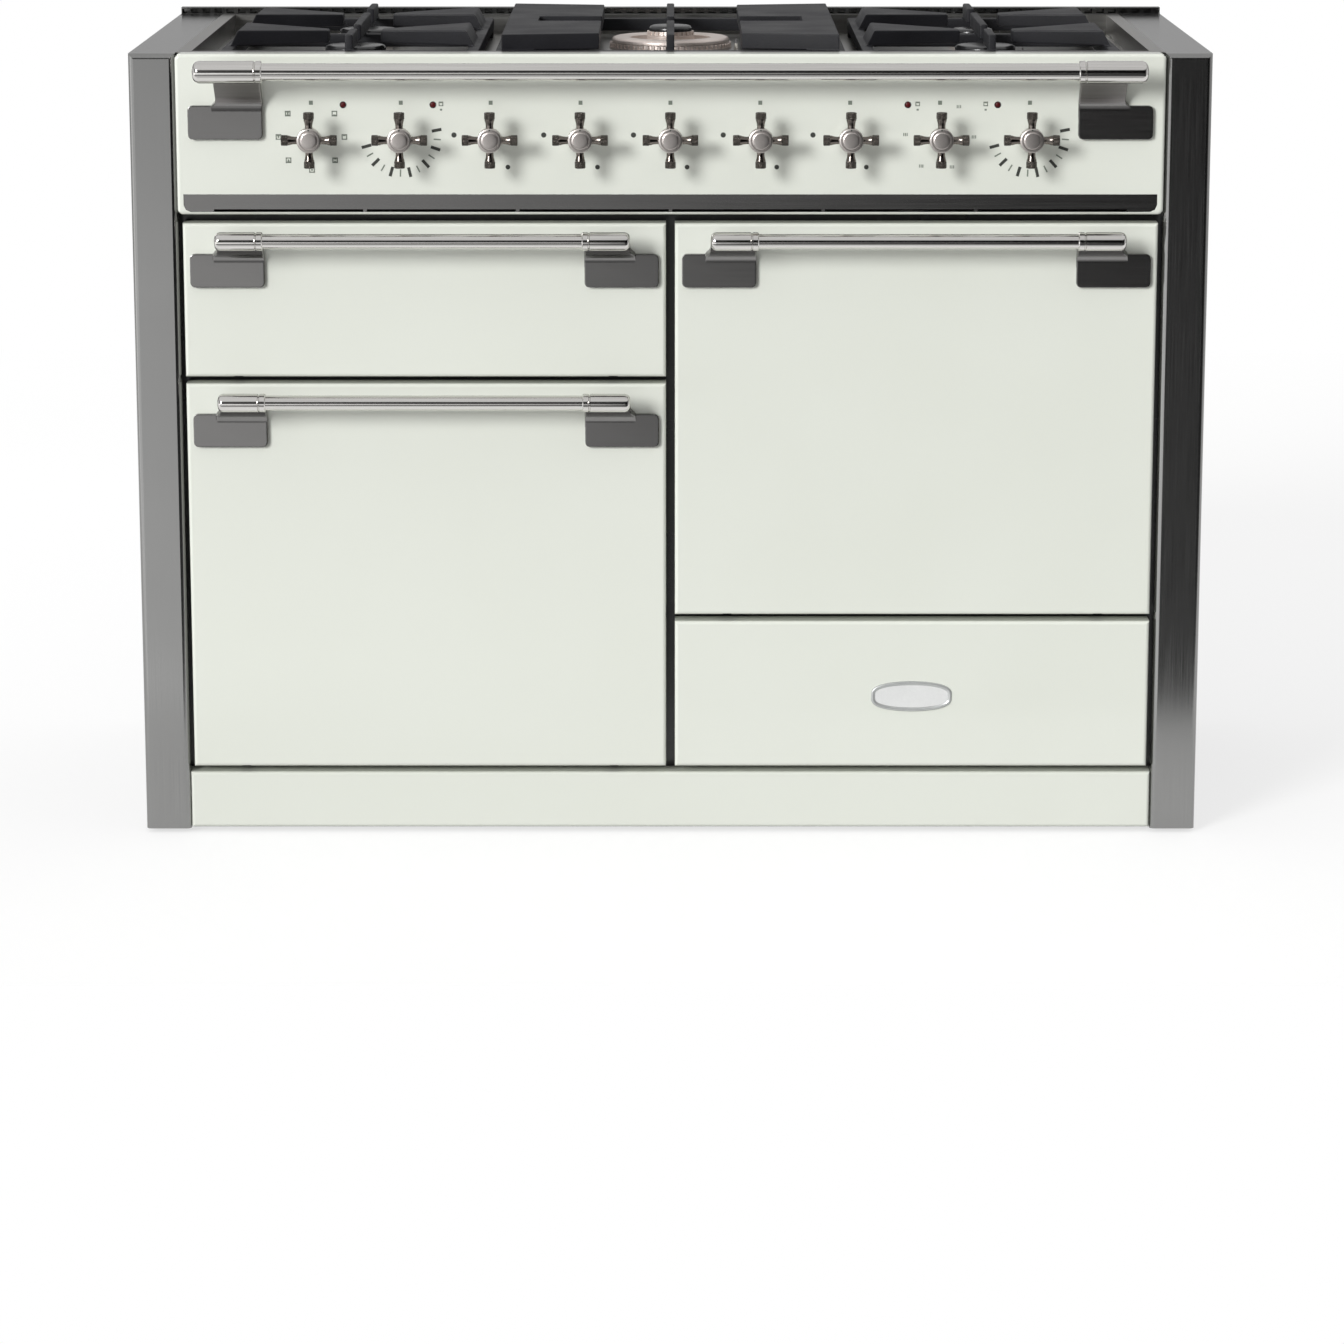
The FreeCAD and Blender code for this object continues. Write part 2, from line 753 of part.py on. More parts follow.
def inner_cover(body, name, centre, low, high):
    """Sheet that closes the back of a front tray."""
    margin = "door_sheet + liner_play"
    outline = sketch_on(body, name + "_outline", "XZ_Plane", "-door_back_y")
    rectangle(outline, (f"{centre} - door_width / 2 + {margin}", f"{centre} + door_width / 2 - ({margin})"),
              (f"{low} + {margin}", f"{high} - ({margin})"))
    pad(body, outline, "liner_sheet", name + "_sheet")


def door_liner(door, centre, low, high):
    """Inner door skin with a raised plug that enters the oven mouth."""
    name = f"{door}_door_inner_skin"
    body = new_body(name)
    inner_cover(body, name, centre, low, high)
    plug_x = (f"{centre} - aperture_half + plug_play", f"{centre} + aperture_half - plug_play")
    plug_z = (f"{low} + aperture_foot + plug_play", f"{high} - aperture_head - plug_play")
    plug = sketch_on(body, name + "_plug_outline", "XZ_Plane", "-door_back_y")
    rectangle(plug, plug_x, plug_z)
    pad(body, plug, "plug_depth", name + "_plug", back=True)
    hollow = sketch_on(body, name + "_plug_hollow", "XZ_Plane", "liner_sheet - door_back_y")
    rectangle(hollow, (f"{plug_x[0]} + liner_sheet", f"{plug_x[1]} - liner_sheet"),
              (f"{plug_z[0]} + liner_sheet", f"{plug_z[1]} - liner_sheet"))
    pocket(body, hollow, "plug_depth", name + "_plug_inside")
    notches(body, name, centre, low, "door_back_y", "2 * liner_sheet")
    return group(f"{door}_door_liner", body, *hinge_leaves(door, centre, low))


def door(name, centre, low, high):
    """One drop-down door's skin and liner."""
    panel = front_tray(f"{name}_door_panel", centre, low, high)
    notches(panel, f"{name}_door_panel", centre, low, "door_back_y", "door_depth - door_sheet")
    return [panel, door_liner(name, centre, low, high)]


def door_seals():
    """Soft loops on the front frame round the three oven mouths."""
    loops = []
    depth = ("door_back_y + seal_gap", "frame_y")
    for name, (centre, low, high) in DOORS.items():
        sides = (f"{centre} - aperture_half", f"{centre} + aperture_half")
        rise = (f"{low} + aperture_foot", f"{high} - aperture_head")
        ring = []
        for part, reach in (("outer", "seal_margin + seal_width"), ("inner", "seal_margin")):
            ring.append(box(f"{name}_seal_{part}",
                            (f"{sides[0]} - ({reach})", f"{sides[1]} + {reach}"), depth,
                            (f"{rise[0]} - ({reach})", f"{rise[1]} + {reach}")))
        loops.append(cut(f"{name}_seal", *ring))
    return group("door_seals", *loops)


# Handles and front rail, modelled about the middle of the bar's axis with the panel face at y = 0

def handle_bar(kind, half):
    """Round bar between two thicker ferrules."""
    axis_y = f"-{kind}_standoff"
    run = f"{half} - {kind}_ferrule_length"
    bar = rod(f"{kind}_tube", "x", f"{kind}_bar_radius", f"2 * ({run})", f"-({run})", axis_y, "0")
    left = rod(f"{kind}_left_ferrule", "x", f"{kind}_ferrule_radius", f"{kind}_ferrule_length",
               f"-({half})", axis_y, "0")
    return group(f"{kind}_bar_set", bar, left, mirrored(f"{kind}_right_ferrule", left))


def handle_brackets(kind, half_panel):
    """Pair of cast brackets: an L-shaped plate with a coved neck that cups the ferrule."""
    body = new_body(f"{kind}_left_bracket")
    outer = f"{kind}_plate_inset - ({half_panel})"
    inner = f"{outer} + bracket_width"
    neck = f"{inner} - neck_width"
    top = f"-{kind}_plate_drop"
    crown = "neck_height / 2"
    plate = sketch_on(body, f"{kind}_plate_outline", "XZ_Plane")
    polygon(plate, [
        (outer, f"{top} - bracket_height"),
        (inner, f"{top} - bracket_height"),
        (inner, crown),
        (neck, crown),
        (neck, top),
        (outer, top),
    ])
    pad(body, plate, "bracket_sheet", f"{kind}_plate")

    fillet(body, along_y, "bracket_corner", f"{kind}_plate_corners")
    side = sketch_on(body, f"{kind}_neck_side", "YZ_Plane", inner)
    reach = f"-{kind}_standoff"
    polygon(side, [
        ("0", crown),
        ("0", top),
        ("-bracket_sheet", top),
        (f"{reach} * 0.35", f"{top} * 0.55"),
        (f"{reach} * 0.62", f"-{crown}"),
        (reach, f"-{crown}"),
        (reach, crown),
    ])
    pad(body, side, "neck_width", f"{kind}_neck", back=True)
    cup = sketch_on(body, f"{kind}_neck_cup", "YZ_Plane", inner)
    circle(cup, reach, "0", f"{kind}_ferrule_radius")
    pocket(body, cup, "neck_width", f"{kind}_neck_seat")
    return group(f"{kind}_bracket_pair", body, mirrored(f"{kind}_right_bracket", body))


# Fascia with its controls

KNOBS = (
    "function_knob",
    "left_oven_knob",
    "burner_1_knob",
    "burner_2_knob",
    "burner_3_knob",
    "burner_4_knob",
    "burner_5_knob",
    "broiler_knob",
    "right_oven_knob",
)
MIDDLE_KNOB = len(KNOBS) // 2
KNOB_ARM_TAPER = 4


def knob_x(index):
    return f"knob_pitch * {index - MIDDLE_KNOB}"


def is_gas(name):
    return name.startswith("burner")


def lens_places():
    """One pilot light beside each electric control, towards the middle of the fascia."""
    for index, name in enumerate(KNOBS):
        if not is_gas(name):
            sign = "+" if index < MIDDLE_KNOB else "-"
            yield name.replace("_knob", "_lens"), f"{knob_x(index)} {sign} lens_offset"


def fascia():
    """Enamelled control panel with spindle holes, lens holes and the long vent opening."""
    body = new_body("fascia")
    sides = ("-fascia_half", "fascia_half")
    outline = sketch_on(body, "fascia_outline", "XZ_Plane", "-fascia_back_y")
    rectangle(outline, sides, ("fascia_base_z", "worktop_height"))
    pad(body, outline, "fascia_depth", "fascia_block")
    fillet(body, along_y, "fascia_corner", "fascia_corners")
    fillet(body, at_low_y(value("fascia_face_y")), "min(door_edge_radius; 3 * door_sheet)", "fascia_edges")
    hollow = sketch_on(body, "fascia_hollow", "XZ_Plane", "-fascia_back_y")
    rectangle(hollow, ("door_sheet - fascia_half", "fascia_half - door_sheet"),
              ("fascia_base_z + door_sheet", "worktop_height - door_sheet"))
    pocket(body, hollow, "fascia_depth - door_sheet", "fascia_inside", along=True)
    holes = sketch_on(body, "fascia_holes", "XZ_Plane", "-fascia_face_y")
    for index in range(len(KNOBS)):
        octagon(holes, knob_x(index), "knob_axis_z", "spindle_radius + spindle_hole_play")
    for _, x in lens_places():
        octagon(holes, x, "knob_axis_z + lens_offset", "lens_radius")
    edge, sill = "(fascia_half - vent_end_inset)", "fascia_base_z + vent_lip"
    bow = "vent_corner * 0.3"
    polygon(holes, [
        (edge, f"{sill} + vent_height"),
        (f"-{edge}", f"{sill} + vent_height"),
        (f"-{edge}", f"{sill} + vent_corner"),
        (f"{bow} - {edge}", f"{sill} + {bow}"),
        (f"vent_corner - {edge}", sill),
        (f"{edge} - vent_corner", sill),
        (f"{edge} - {bow}", f"{sill} + {bow}"),
        (edge, f"{sill} + vent_corner"),
    ])
    pocket(body, holes, "2 * door_sheet", "fascia_openings")
    return body


def vent_trim():
    """Dark steel strip behind the fascia's vent opening, with a row of air slots along its foot."""
    body = new_body("vent_trim")
    half = "(fascia_half - vent_end_inset + vent_overlap)"
    low = "fascia_base_z + vent_lip"
    face = "fascia_face_y + door_sheet"
    outline = sketch_on(body, "vent_trim_outline", "XZ_Plane", f"-({face} + vent_sheet)")
    rise = ("fascia_base_z + door_sheet", f"{low} + vent_height + vent_overlap")
    rectangle(outline, (f"-{half}", half), rise)
    pad(body, outline, "vent_sheet", "vent_trim_strip")
    step = "vent_slot_length + vent_bridge"
    count = int(value(f"2 * {half} / ({step})"))
    start = f"-({step}) * {count} / 2 + vent_bridge / 2"
    slot = sketch_on(body, "vent_trim_slot", "XZ_Plane", f"-({face})")
    rectangle(slot, (start, f"{start} + vent_slot_length"), (low, f"{low} + vent_slot_height"))
    first = pocket(body, slot, "vent_sheet", "vent_trim_first_slot")
    row(body, first, "X_Axis", step, count, "vent_trim_slots")
    return body


def indicator_lenses():
    """Red eight-sided pilot lenses pressed into the fascia."""
    lenses = []
    for name, x in lens_places():
        lenses.append(prism(name, "y", 8, "lens_radius", "lens_rise + fascia_depth / 2",
                            x, "fascia_face_y - lens_rise", "knob_axis_z + lens_offset"))
    return group("indicator_lenses", *lenses)


def knob_master():
    """Cross-head tap knob: turned hub and spindle, and four flared arms with a barrel at each tip."""
    body = new_body("cross_knob")
    hub_back = "-(knob_standoff - knob_hub_length / 2)"
    hub_front = "-(knob_standoff + knob_hub_length / 2)"
    hub = sketch_on(body, "cross_knob_half", "XY_Plane")
    rectangle(hub, ("0", "knob_hub_radius"), (hub_front, hub_back))
    revolve(body, hub, "V_Axis", "cross_knob_hub")
    stem = sketch_on(body, "cross_knob_spindle_section", "XZ_Plane", "fascia_face_y - spindle_end_y")
    octagon(stem, "0", "0", "spindle_radius * cos(22.5)")
    pad(body, stem, f"spindle_end_y - fascia_face_y - ({hub_back})", "cross_knob_spindle")
    shoulder = "knob_span / 2 - knob_barrel_length"
    arm = sketch_on(body, "cross_knob_arm_section", "YZ_Plane", shoulder)
    octagon(arm, "-knob_standoff", "0", "knob_arm_end")
    neck = pad(body, arm, f"{shoulder} - knob_hub_radius / 2", "cross_knob_arm", back=True)
    neck.TaperAngle = -KNOB_ARM_TAPER
    polar(body, neck, "Y_Axis", 4, "cross_knob_arms")
    tip = sketch_on(body, "cross_knob_barrel_section", "YZ_Plane", shoulder)
    octagon(tip, "-knob_standoff", "0", "knob_barrel_radius")
    barrel = pad(body, tip, "knob_barrel_length", "cross_knob_barrel")
    polar(body, barrel, "Y_Axis", 4, "cross_knob_barrels")
    return body


def controls():
    """Nine knobs on their spindles, the five gas tap cores, and the bodies behind the fascia."""
    knob = knob_master()
    core_bore = prism("tap_core_bore", "y", 8, "spindle_radius + spindle_fit",
                      "core_grip + push_travel * 2", "0", "0", "0")
    core_bar = rod("tap_core_bar", "y", "core_radius", "core_length", "0", "0", "0")
    core = cut("tap_core", core_bar, core_bore)
    tap, switch = tap_body(), switch_body()
    pieces = []
    bodies = []
    for index, name in enumerate(KNOBS):
        x = knob_x(index)
        pieces.append(placed(name, knob, x, "fascia_face_y", "knob_axis_z"))
        behind = tap if is_gas(name) else switch
        bodies.append(placed(name.replace("knob", "control"), behind, x, "fascia_face_y + door_sheet",
                             "knob_axis_z"))
        if is_gas(name):
            pieces.append(placed(name.replace("knob", "tap_core"), core, x, "core_front_y", "knob_axis_z"))
    return pieces + [group("taps_and_switches", *bodies)]


def tap_body():
    """Gas tap: a neck against the fascia, the valve block, and a bore for the core."""
    neck = prism("gas_tap_neck", "y", 8, "tap_neck_radius", "tap_neck_length", "0", "0", "0")
    block = box("gas_tap_block", ("-tap_width / 2", "tap_width / 2"),
                ("tap_neck_length", "tap_neck_length + tap_depth"), ("-tap_height / 2", "tap_height / 2"))
    bore = prism("gas_tap_bore", "y", 8, "core_radius + spindle_fit", "core_length + door_sheet",
                 "0", "0", "0")
    return cut("gas_tap", fuse("gas_tap_blank", neck, block), bore)


def switch_body():
    """Rotary switch or thermostat: a neck against the fascia and a square case."""
    neck = prism("switch_neck", "y", 8, "tap_neck_radius", "tap_neck_length", "0", "0", "0")
    case = box("switch_case", ("-switch_width / 2", "switch_width / 2"),
               ("tap_neck_length", "tap_neck_length + switch_depth"),
               ("-switch_width / 2", "switch_width / 2"))
    bore = prism("switch_bore", "y", 8, "spindle_radius + spindle_fit",
                 "spindle_end_y - fascia_face_y", "0", "0", "0")
    return cut("rotary_switch", fuse("rotary_switch_blank", neck, case), bore)


# Hob: burner names with radius and place

BURNERS = {
    "left_front": ("burner_radius", "-side_burner_x", "front_burner_y"),
    "left_rear": ("burner_radius", "-side_burner_x", "rear_burner_y"),
    "wok": ("wok_radius", "0", "wok_burner_y"),
    "right_rear": ("simmer_radius", "side_burner_x", "rear_burner_y"),
    "right_front": ("burner_radius", "side_burner_x", "front_burner_y"),
}


def hob_tray():
    """Steel spill tray with a flat rim, a recess, and a hole under each burner."""
    body = new_body("hob_tray")
    near, far = "fascia_back_y", "panel_back_y"
    rim = sketch_on(body, "hob_tray_rim", "XY_Plane", "rim_top_z")
    rectangle(rim, ("-inner_half", "inner_half"), (near, far))
    pad(body, rim, "tray_sheet", "hob_tray_plate", back=True)

    def inset(sketch, margin):
        return rectangle(sketch, (f"{margin} - inner_half", f"inner_half - ({margin})"),
                         (f"{near} + {margin}", f"{far} - ({margin})"))

    well = inset(sketch_on(body, "hob_tray_well", "XY_Plane", "rim_top_z"), "rim_width - tray_sheet")
    pad(body, well, "hob_recess + tray_sheet", "hob_tray_pan", back=True)
    hollow = inset(sketch_on(body, "hob_tray_hollow", "XY_Plane", "rim_top_z"), "rim_width")
    pocket(body, hollow, "hob_recess", "hob_tray_recess")
    holes = sketch_on(body, "hob_tray_holes", "XY_Plane", "tray_floor_z")
    for _, x, y in BURNERS.values():
        octagon(holes, x, y, "burner_neck_radius")
    pocket(body, holes, "2 * tray_sheet", "hob_tray_openings")
    return body


def ported_crown(name, radius, ports):
    """Burner crown: a disc with gas ports cut through its upper edge."""
    body = turned(name, [
        ("0", "0"),
        (radius, "0"),
        (radius, "burner_height"),
        ("0", "burner_height"),
    ])
    port = sketch_on(body, name + "_port", "XY_Plane", "burner_height")
    rectangle(port, (f"{radius} - 2 * burner_cap_inset", f"{radius} + port_depth"),
              ("-port_width / 2", "port_width / 2"))
    first = pocket(body, port, "port_depth", name + "_first_port")
    polar(body, first, "Z_Axis", ports, name + "_ports")
    return body


def turned(name, points):
    """A round piece from half of its section."""
    body = new_body(name)
    half = polygon(sketch_on(body, name + "_half", "XZ_Plane"), points)
    revolve(body, half, "V_Axis", name + "_turned")
    return body


def cap_disc(name, inner, outer):
    """Enamelled burner lid, a disc or a ring."""
    return turned(name, [
        (inner, "0"),
        (outer, "0"),
        (outer, "burner_cap_height"),
        (inner, "burner_cap_height"),
    ])


PORTS = {"burner_radius": 8, "simmer_radius": 6, "wok_radius": 10}


def burners():
    """Cups, crowns and caps of the five burners, with a spark electrode beside each."""
    wok_inner = "wok_radius - wok_ring_width"
    crowns, caps = {}, {}
    for size, ports in PORTS.items():
        crowns[size] = ported_crown(size + "_crown", size, ports)
        lid_inner = wok_inner if size == "wok_radius" else "0"
        caps[size] = cap_disc(size + "_cap", lid_inner, f"{size} - burner_cap_inset")
    heads, lids, lower = [], [], []
    crown_top = "tray_floor_z + burner_height"
    spark_height = "burner_height + burner_cap_height / 2"
    for name, (radius, x, y) in BURNERS.items():
        heads.append(placed(name + "_crown", crowns[radius], x, y, "tray_floor_z"))
        lids.append(placed(name + "_cap", caps[radius], x, y, crown_top))
        cup = prism(name + "_cup", "z", 12, "cup_radius", "cup_height", x, y, "tray_under_z - cup_height")
        side = f"{x} + {radius} + electrode_gap + electrode_radius"
        spark = prism(name + "_electrode", "z", 8, "electrode_radius", spark_height, side, y, "tray_floor_z")
        lower += [cup, spark]
    heads.append(placed("wok_inner_crown", crowns["simmer_radius"], "0", "wok_burner_y", crown_top))
    lid_z = f"{crown_top} + burner_height"
    lids.append(placed("wok_inner_cap", caps["simmer_radius"], "0", "wok_burner_y", lid_z))
    return group("burner_heads", *heads), group("burner_caps", *lids), lower


def pipe_run(name, points, radius):
    """An eight-sided tube along straight runs with mitred corners."""
    corners = [Vector(*(value(text) for text in point)) for point in points]
    path = Part.makePolygon(corners)
    start = corners[1] - corners[0]
    turn = Rotation(Vector(0, 0, 1), start)
    spoke = Vector(value(radius), 0, 0)
    about_z = [Rotation(Vector(0, 0, 1), 45 * step) for step in range(9)]
    rim = [turn.multVec(eighth.multVec(spoke)) + corners[0] for eighth in about_z]
    tube = doc.addObject("Part::Feature", name)
    tube.Shape = path.makePipeShell([Part.makePolygon(rim)], True, False, 1)
    return tube


def gas_fittings(cups):
    """Square manifold behind the taps, the inlet pipe to the rear, and a feed to each burner's cup."""
    half = "knob_pitch * 2 + tap_width"
    rise = ("knob_axis_z - manifold_side / 2", "knob_axis_z + manifold_side / 2")
    rear = "tap_back_y + manifold_side"
    manifold = box("gas_manifold", (f"-({half})", "inlet_x + manifold_side"), ("tap_back_y", rear), rise)
    run = f"back_y - inlet_length - ({rear})"
    inlet = prism("gas_inlet_pipe", "y", 8, "inlet_pipe_radius", run, "inlet_x", rear, "knob_axis_z")
    union = rod("gas_inlet_union", "y", "inlet_radius", "inlet_length", "inlet_x", "back_y - inlet_length",
                "knob_axis_z")
    pieces = [manifold, inlet, union]
    for index, (name, (radius, x, y)) in enumerate(BURNERS.items()):
        start_x = f"knob_pitch * {index - 2}"
        points = [
            (start_x, "tap_pipe_y", "knob_axis_z + tap_height / 2"),
            (start_x, "tap_pipe_y", "pipe_z"),
        ]
        if "front" in name:
            points += [(x, "tap_pipe_y", "pipe_z"), (x, f"{y} - cup_radius", "pipe_z")]
        elif "rear" in name:
            edge = f"{x} + cup_radius" if "left" in name else f"{x} - cup_radius"
            points += [(start_x, y, "pipe_z"), (edge, y, "pipe_z")]
        else:
            points += [(x, f"{y} - cup_radius", "pipe_z")]
        pieces.append(pipe_run(name + "_feed", points, "pipe_radius"))
    return group("gas_fittings", *pieces, *cups)


# Cast-iron pan supports

def support_frame(body, name, half, windows):
    """Low ring of bars with open windows, standing on feet, under the fingers."""
    base = "support_frame_z - support_frame_height"
    outline = sketch_on(body, name + "_ring", "XY_Plane", base)
    ends = ("support_front_y", "support_rear_y")
    rectangle(outline, (f"-({half})", half), ends)
    for low, high in windows:
        rectangle(outline, (f"support_bar - ({half})", f"{half} - support_bar"), (low, high))
    pad(body, outline, "support_frame_height", name + "_bars")

    def upright(bounds):
        edge = value(half)
        return bounds.ZMax - bounds.ZMin > NEAR and abs(abs(bounds.XMin) - edge) < NEAR

    fillet(body, upright, "support_bar / 2", name + "_corners")
    feet = sketch_on(body, name + "_feet_plan", "XY_Plane", "tray_floor_z")
    for x in (f"support_bar / 2 - ({half})", f"{half} - support_bar / 2"):
        for y in (f"{ends[0]} + 2 * support_bar", f"{ends[1]} - 2 * support_bar"):
            octagon(feet, x, y, "support_bar / 2")
    pad(body, feet, f"{base} - tray_floor_z", name + "_feet")


def strip(sketch, middle, near, far):
    """A narrow finger along y."""
    rectangle(sketch, (f"{middle} - finger_width / 2", f"{middle} + finger_width / 2"), (near, far))


def side_support():
    """Support for a front and a rear burner: two tapered wings and two fingers to each."""
    body = new_body("side_support")
    half = "side_support_width / 2"
    ends = ("support_front_y", "support_rear_y")
    middle = "wok_burner_y"
    windows = [
        (f"{ends[0]} + support_bar", f"{middle} - support_bar / 2"),
        (f"{middle} + support_bar / 2", f"{ends[1]} - support_bar"),
    ]
    support_frame(body, "side_support", half, windows)
    fingers = sketch_on(body, "side_support_fingers_plan", "XY_Plane", "support_frame_z")
    edge = "support_bar / 2"
    for y in ("front_burner_y", "rear_burner_y"):
        for sign in ("-", ""):
            root = f"{sign}({half} - {edge})"
            tip = f"{sign}finger_reach"
            polygon(fingers, [
                (root, f"{y} - wing_root / 2"),
                (tip, f"{y} - wing_tip / 2"),
                (tip, f"{y} + wing_tip / 2"),
                (root, f"{y} + wing_root / 2"),
            ])
    strip(fingers, "0", f"{ends[0]} + {edge}", "front_burner_y - finger_reach")
    strip(fingers, "0", "front_burner_y + finger_reach", "rear_burner_y - finger_reach")
    strip(fingers, "0", "rear_burner_y + finger_reach", f"{ends[1]} - {edge}")
    pad(body, fingers, "finger_height", "side_support_fingers")
    return body


def centre_support():
    """Support over the wok burner: two broad notched plates and a front and a rear finger."""
    body = new_body("centre_pan_support")
    half = "centre_support_width / 2"
    ends = ("support_front_y", "support_rear_y")
    windows = [(f"{ends[0]} + support_bar", f"{ends[1]} - support_bar")]
    support_frame(body, "centre_support", half, windows)
    raised = sketch_on(body, "centre_support_plates_plan", "XY_Plane", "support_frame_z")
    edge = "support_bar / 2"
    for sign in ("-", ""):
        outer = f"{sign}({half} - {edge})"
        inner = f"{sign}({half} - plate_width)"
        polygon(raised, [
            (outer, f"{ends[0]} + {edge}"),
            (inner, f"{ends[0]} + 2 * support_bar"),
            (inner, f"{ends[1]} - 2 * support_bar"),
            (outer, f"{ends[1]} - {edge}"),
        ])
    strip(raised, "0", f"{ends[0]} + {edge}", "wok_burner_y - finger_reach")
    strip(raised, "0", "wok_burner_y + finger_reach", f"{ends[1]} - {edge}")
    pad(body, raised, "finger_height", "centre_support_plates")
    notches = sketch_on(body, "centre_support_notches_plan", "XY_Plane", "support_top_z")
    gap = ("wok_burner_y - plate_notch / 2", "wok_burner_y + plate_notch / 2")
    tip = f"{half} - plate_width"
    rectangle(notches, (f"-({tip} + plate_notch_reach)", f"-({tip})"), gap)
    rectangle(notches, (tip, f"{tip} + plate_notch_reach"), gap)
    pocket(body, notches, "2 * finger_height", "centre_support_notches")
    return body


def pan_supports():
    """The centre support and the pair at the sides."""
    side = side_support()
    left = placed("left_pan_support", side, "-side_burner_x")
    right = placed("right_pan_support", side, "side_burner_x")
    return [left, right, centre_support()]


def rear_vent():
    """Slotted upstand along the back, open underneath to the flue."""
    body = new_body("rear_vent")
    base = "worktop_height - rear_vent_skirt"
    rise = "rear_vent_skirt + rear_vent_rise"
    outline = sketch_on(body, "rear_vent_plan", "XY_Plane", base)
    rectangle(outline, ("-half_width", "half_width"), ("panel_back_y", "back_y"))
    pad(body, outline, rise, "rear_vent_block")
    hollow = sketch_on(body, "rear_vent_hollow", "XY_Plane", base)
    rectangle(hollow, ("panel_sheet - half_width", "half_width - panel_sheet"),
              ("panel_back_y + panel_sheet", "back_y - panel_sheet"))
    pocket(body, hollow, f"{rise} - panel_sheet", "rear_vent_inside", along=True)
    count = int(value("(range_width - rear_slot_pitch) / rear_slot_pitch"))
    start = f"-rear_slot_pitch * {count} / 2 + (rear_slot_pitch - rear_slot_width) / 2"
    low = "worktop_height + (rear_vent_rise - panel_sheet - rear_slot_height) / 2"
    slot = sketch_on(body, "rear_vent_slot", "XZ_Plane", "-panel_back_y")
    rectangle(slot, (start, f"{start} + rear_slot_width"), (low, f"{low} + rear_slot_height"))
    first = pocket(body, slot, "2 * panel_sheet", "rear_vent_first_slot")
    row(body, first, "X_Axis", "rear_slot_pitch", count, "rear_vent_slots")
    return body


# Ovens, broiler and what they hold

CAVITIES = {
    "broiler": "broiler_back_y",
    "left_oven": "oven_back_y",
    "right_oven": "oven_back_y",
}


def mouth(name):
    """The clear sides and height of one cavity."""
    centre, low, high = DOORS[name]
    return ((f"{centre} - aperture_half", f"{centre} + aperture_half"),
            (f"{low} + aperture_foot", f"{high} - aperture_head"))


def fan_axis(name):
    """Where an oven's fan turns, in x and z."""
    centre, low, high = DOORS[name]
    return centre, f"({low} + aperture_foot + {high} - aperture_head) / 2"


def cavity(name):
    """Enamelled steel box behind an aperture, with a hole for the fan shaft in an oven."""
    sides, rise = mouth(name)
    back = CAVITIES[name]
    shell = box(f"{name}_shell", (f"{sides[0]} - oven_sheet", f"{sides[1]} + oven_sheet"),
                ("frame_back_y", f"{back} + oven_sheet"),
                (f"{rise[0]} - oven_sheet", f"{rise[1]} + oven_sheet"))
    tools = [box(f"{name}_space", sides, ("frame_back_y", back), rise)]
    if name != "broiler":
        x, z = fan_axis(name)
        tools.append(rod(f"{name}_shaft_hole", "y", "fan_shaft_radius + shaft_hole_play",
                         "oven_sheet", x, back, z))
    return cut(f"{name}_cavity", shell, *tools)


def oven_rack(name):
    """Wire shelf: a bar frame with evenly spaced wires from front to back."""
    body = new_body(name)
    half = "aperture_half - rack_side_play"
    ends = ("frame_back_y + guide_front", "oven_back_y - guide_back")
    outline = sketch_on(body, name + "_outline", "XY_Plane")
    rectangle(outline, (f"-({half})", half), ends)
    pad(body, outline, "rack_bar", name + "_frame")
    count = int(value(f"2 * ({half} - rack_bar) / rack_wire_pitch"))
    pitch = f"(2 * ({half} - rack_bar) + rack_wire) / {count}"
    start = f"rack_bar - ({half})"
    gap = sketch_on(body, name + "_gap", "XY_Plane", "rack_bar")
    rectangle(gap, (start, f"{start} + {pitch} - rack_wire"),
              (f"{ends[0]} + rack_bar", f"{ends[1]} - rack_bar"))
    first = pocket(body, gap, "2 * rack_bar", name + "_first_gap")
    row(body, first, "X_Axis", pitch, count, name + "_gaps")
    return body


GUIDE_LEVELS = 4


def rack_guide():
    """Pressed side guide: a plate against the oven wall with ledges for the shelves."""
    depth = ("frame_back_y + guide_front", "oven_back_y - guide_back / 2")
    top = f"guide_first + guide_pitch * {GUIDE_LEVELS - 1} + guide_ledge"
    parts = [box("rack_guide_plate", ("0", "guide_sheet"), depth, ("guide_ledge", top))]
    for level in range(GUIDE_LEVELS):
        z = f"guide_first + guide_pitch * {level}"
        parts.append(box(f"rack_guide_ledge_{level}", ("0", "guide_ledge"), depth,
                         (f"{z} - guide_sheet", z)))
    return fuse("rack_guide", *parts)


RACK_LEVELS = (0, 2)


def oven_racks():
    """Two shelves and two side guides in each oven, and the ledges for the broiler pan."""
    rack = oven_rack("oven_rack")
    left_guide = rack_guide()
    right_guide = mirrored("rack_guide_right", left_guide)
    pieces = broiler_ledges()
    for name in ("left_oven", "right_oven"):
        centre = DOORS[name][0]
        sides, rise = mouth(name)
        pieces.append(placed(f"{name}_left_guide", left_guide, sides[0], "0", rise[0]))
        pieces.append(placed(f"{name}_right_guide", right_guide, sides[1], "0", rise[0]))
        for level in RACK_LEVELS:
            z = f"{rise[0]} + guide_first + guide_pitch * {level}"
            pieces.append(placed(f"{name}_rack_{level}", rack, centre, "0", z))
    return group("oven_racks", *pieces)


FAN_COVER_SLOTS = 10
FAN_BLADES = 8


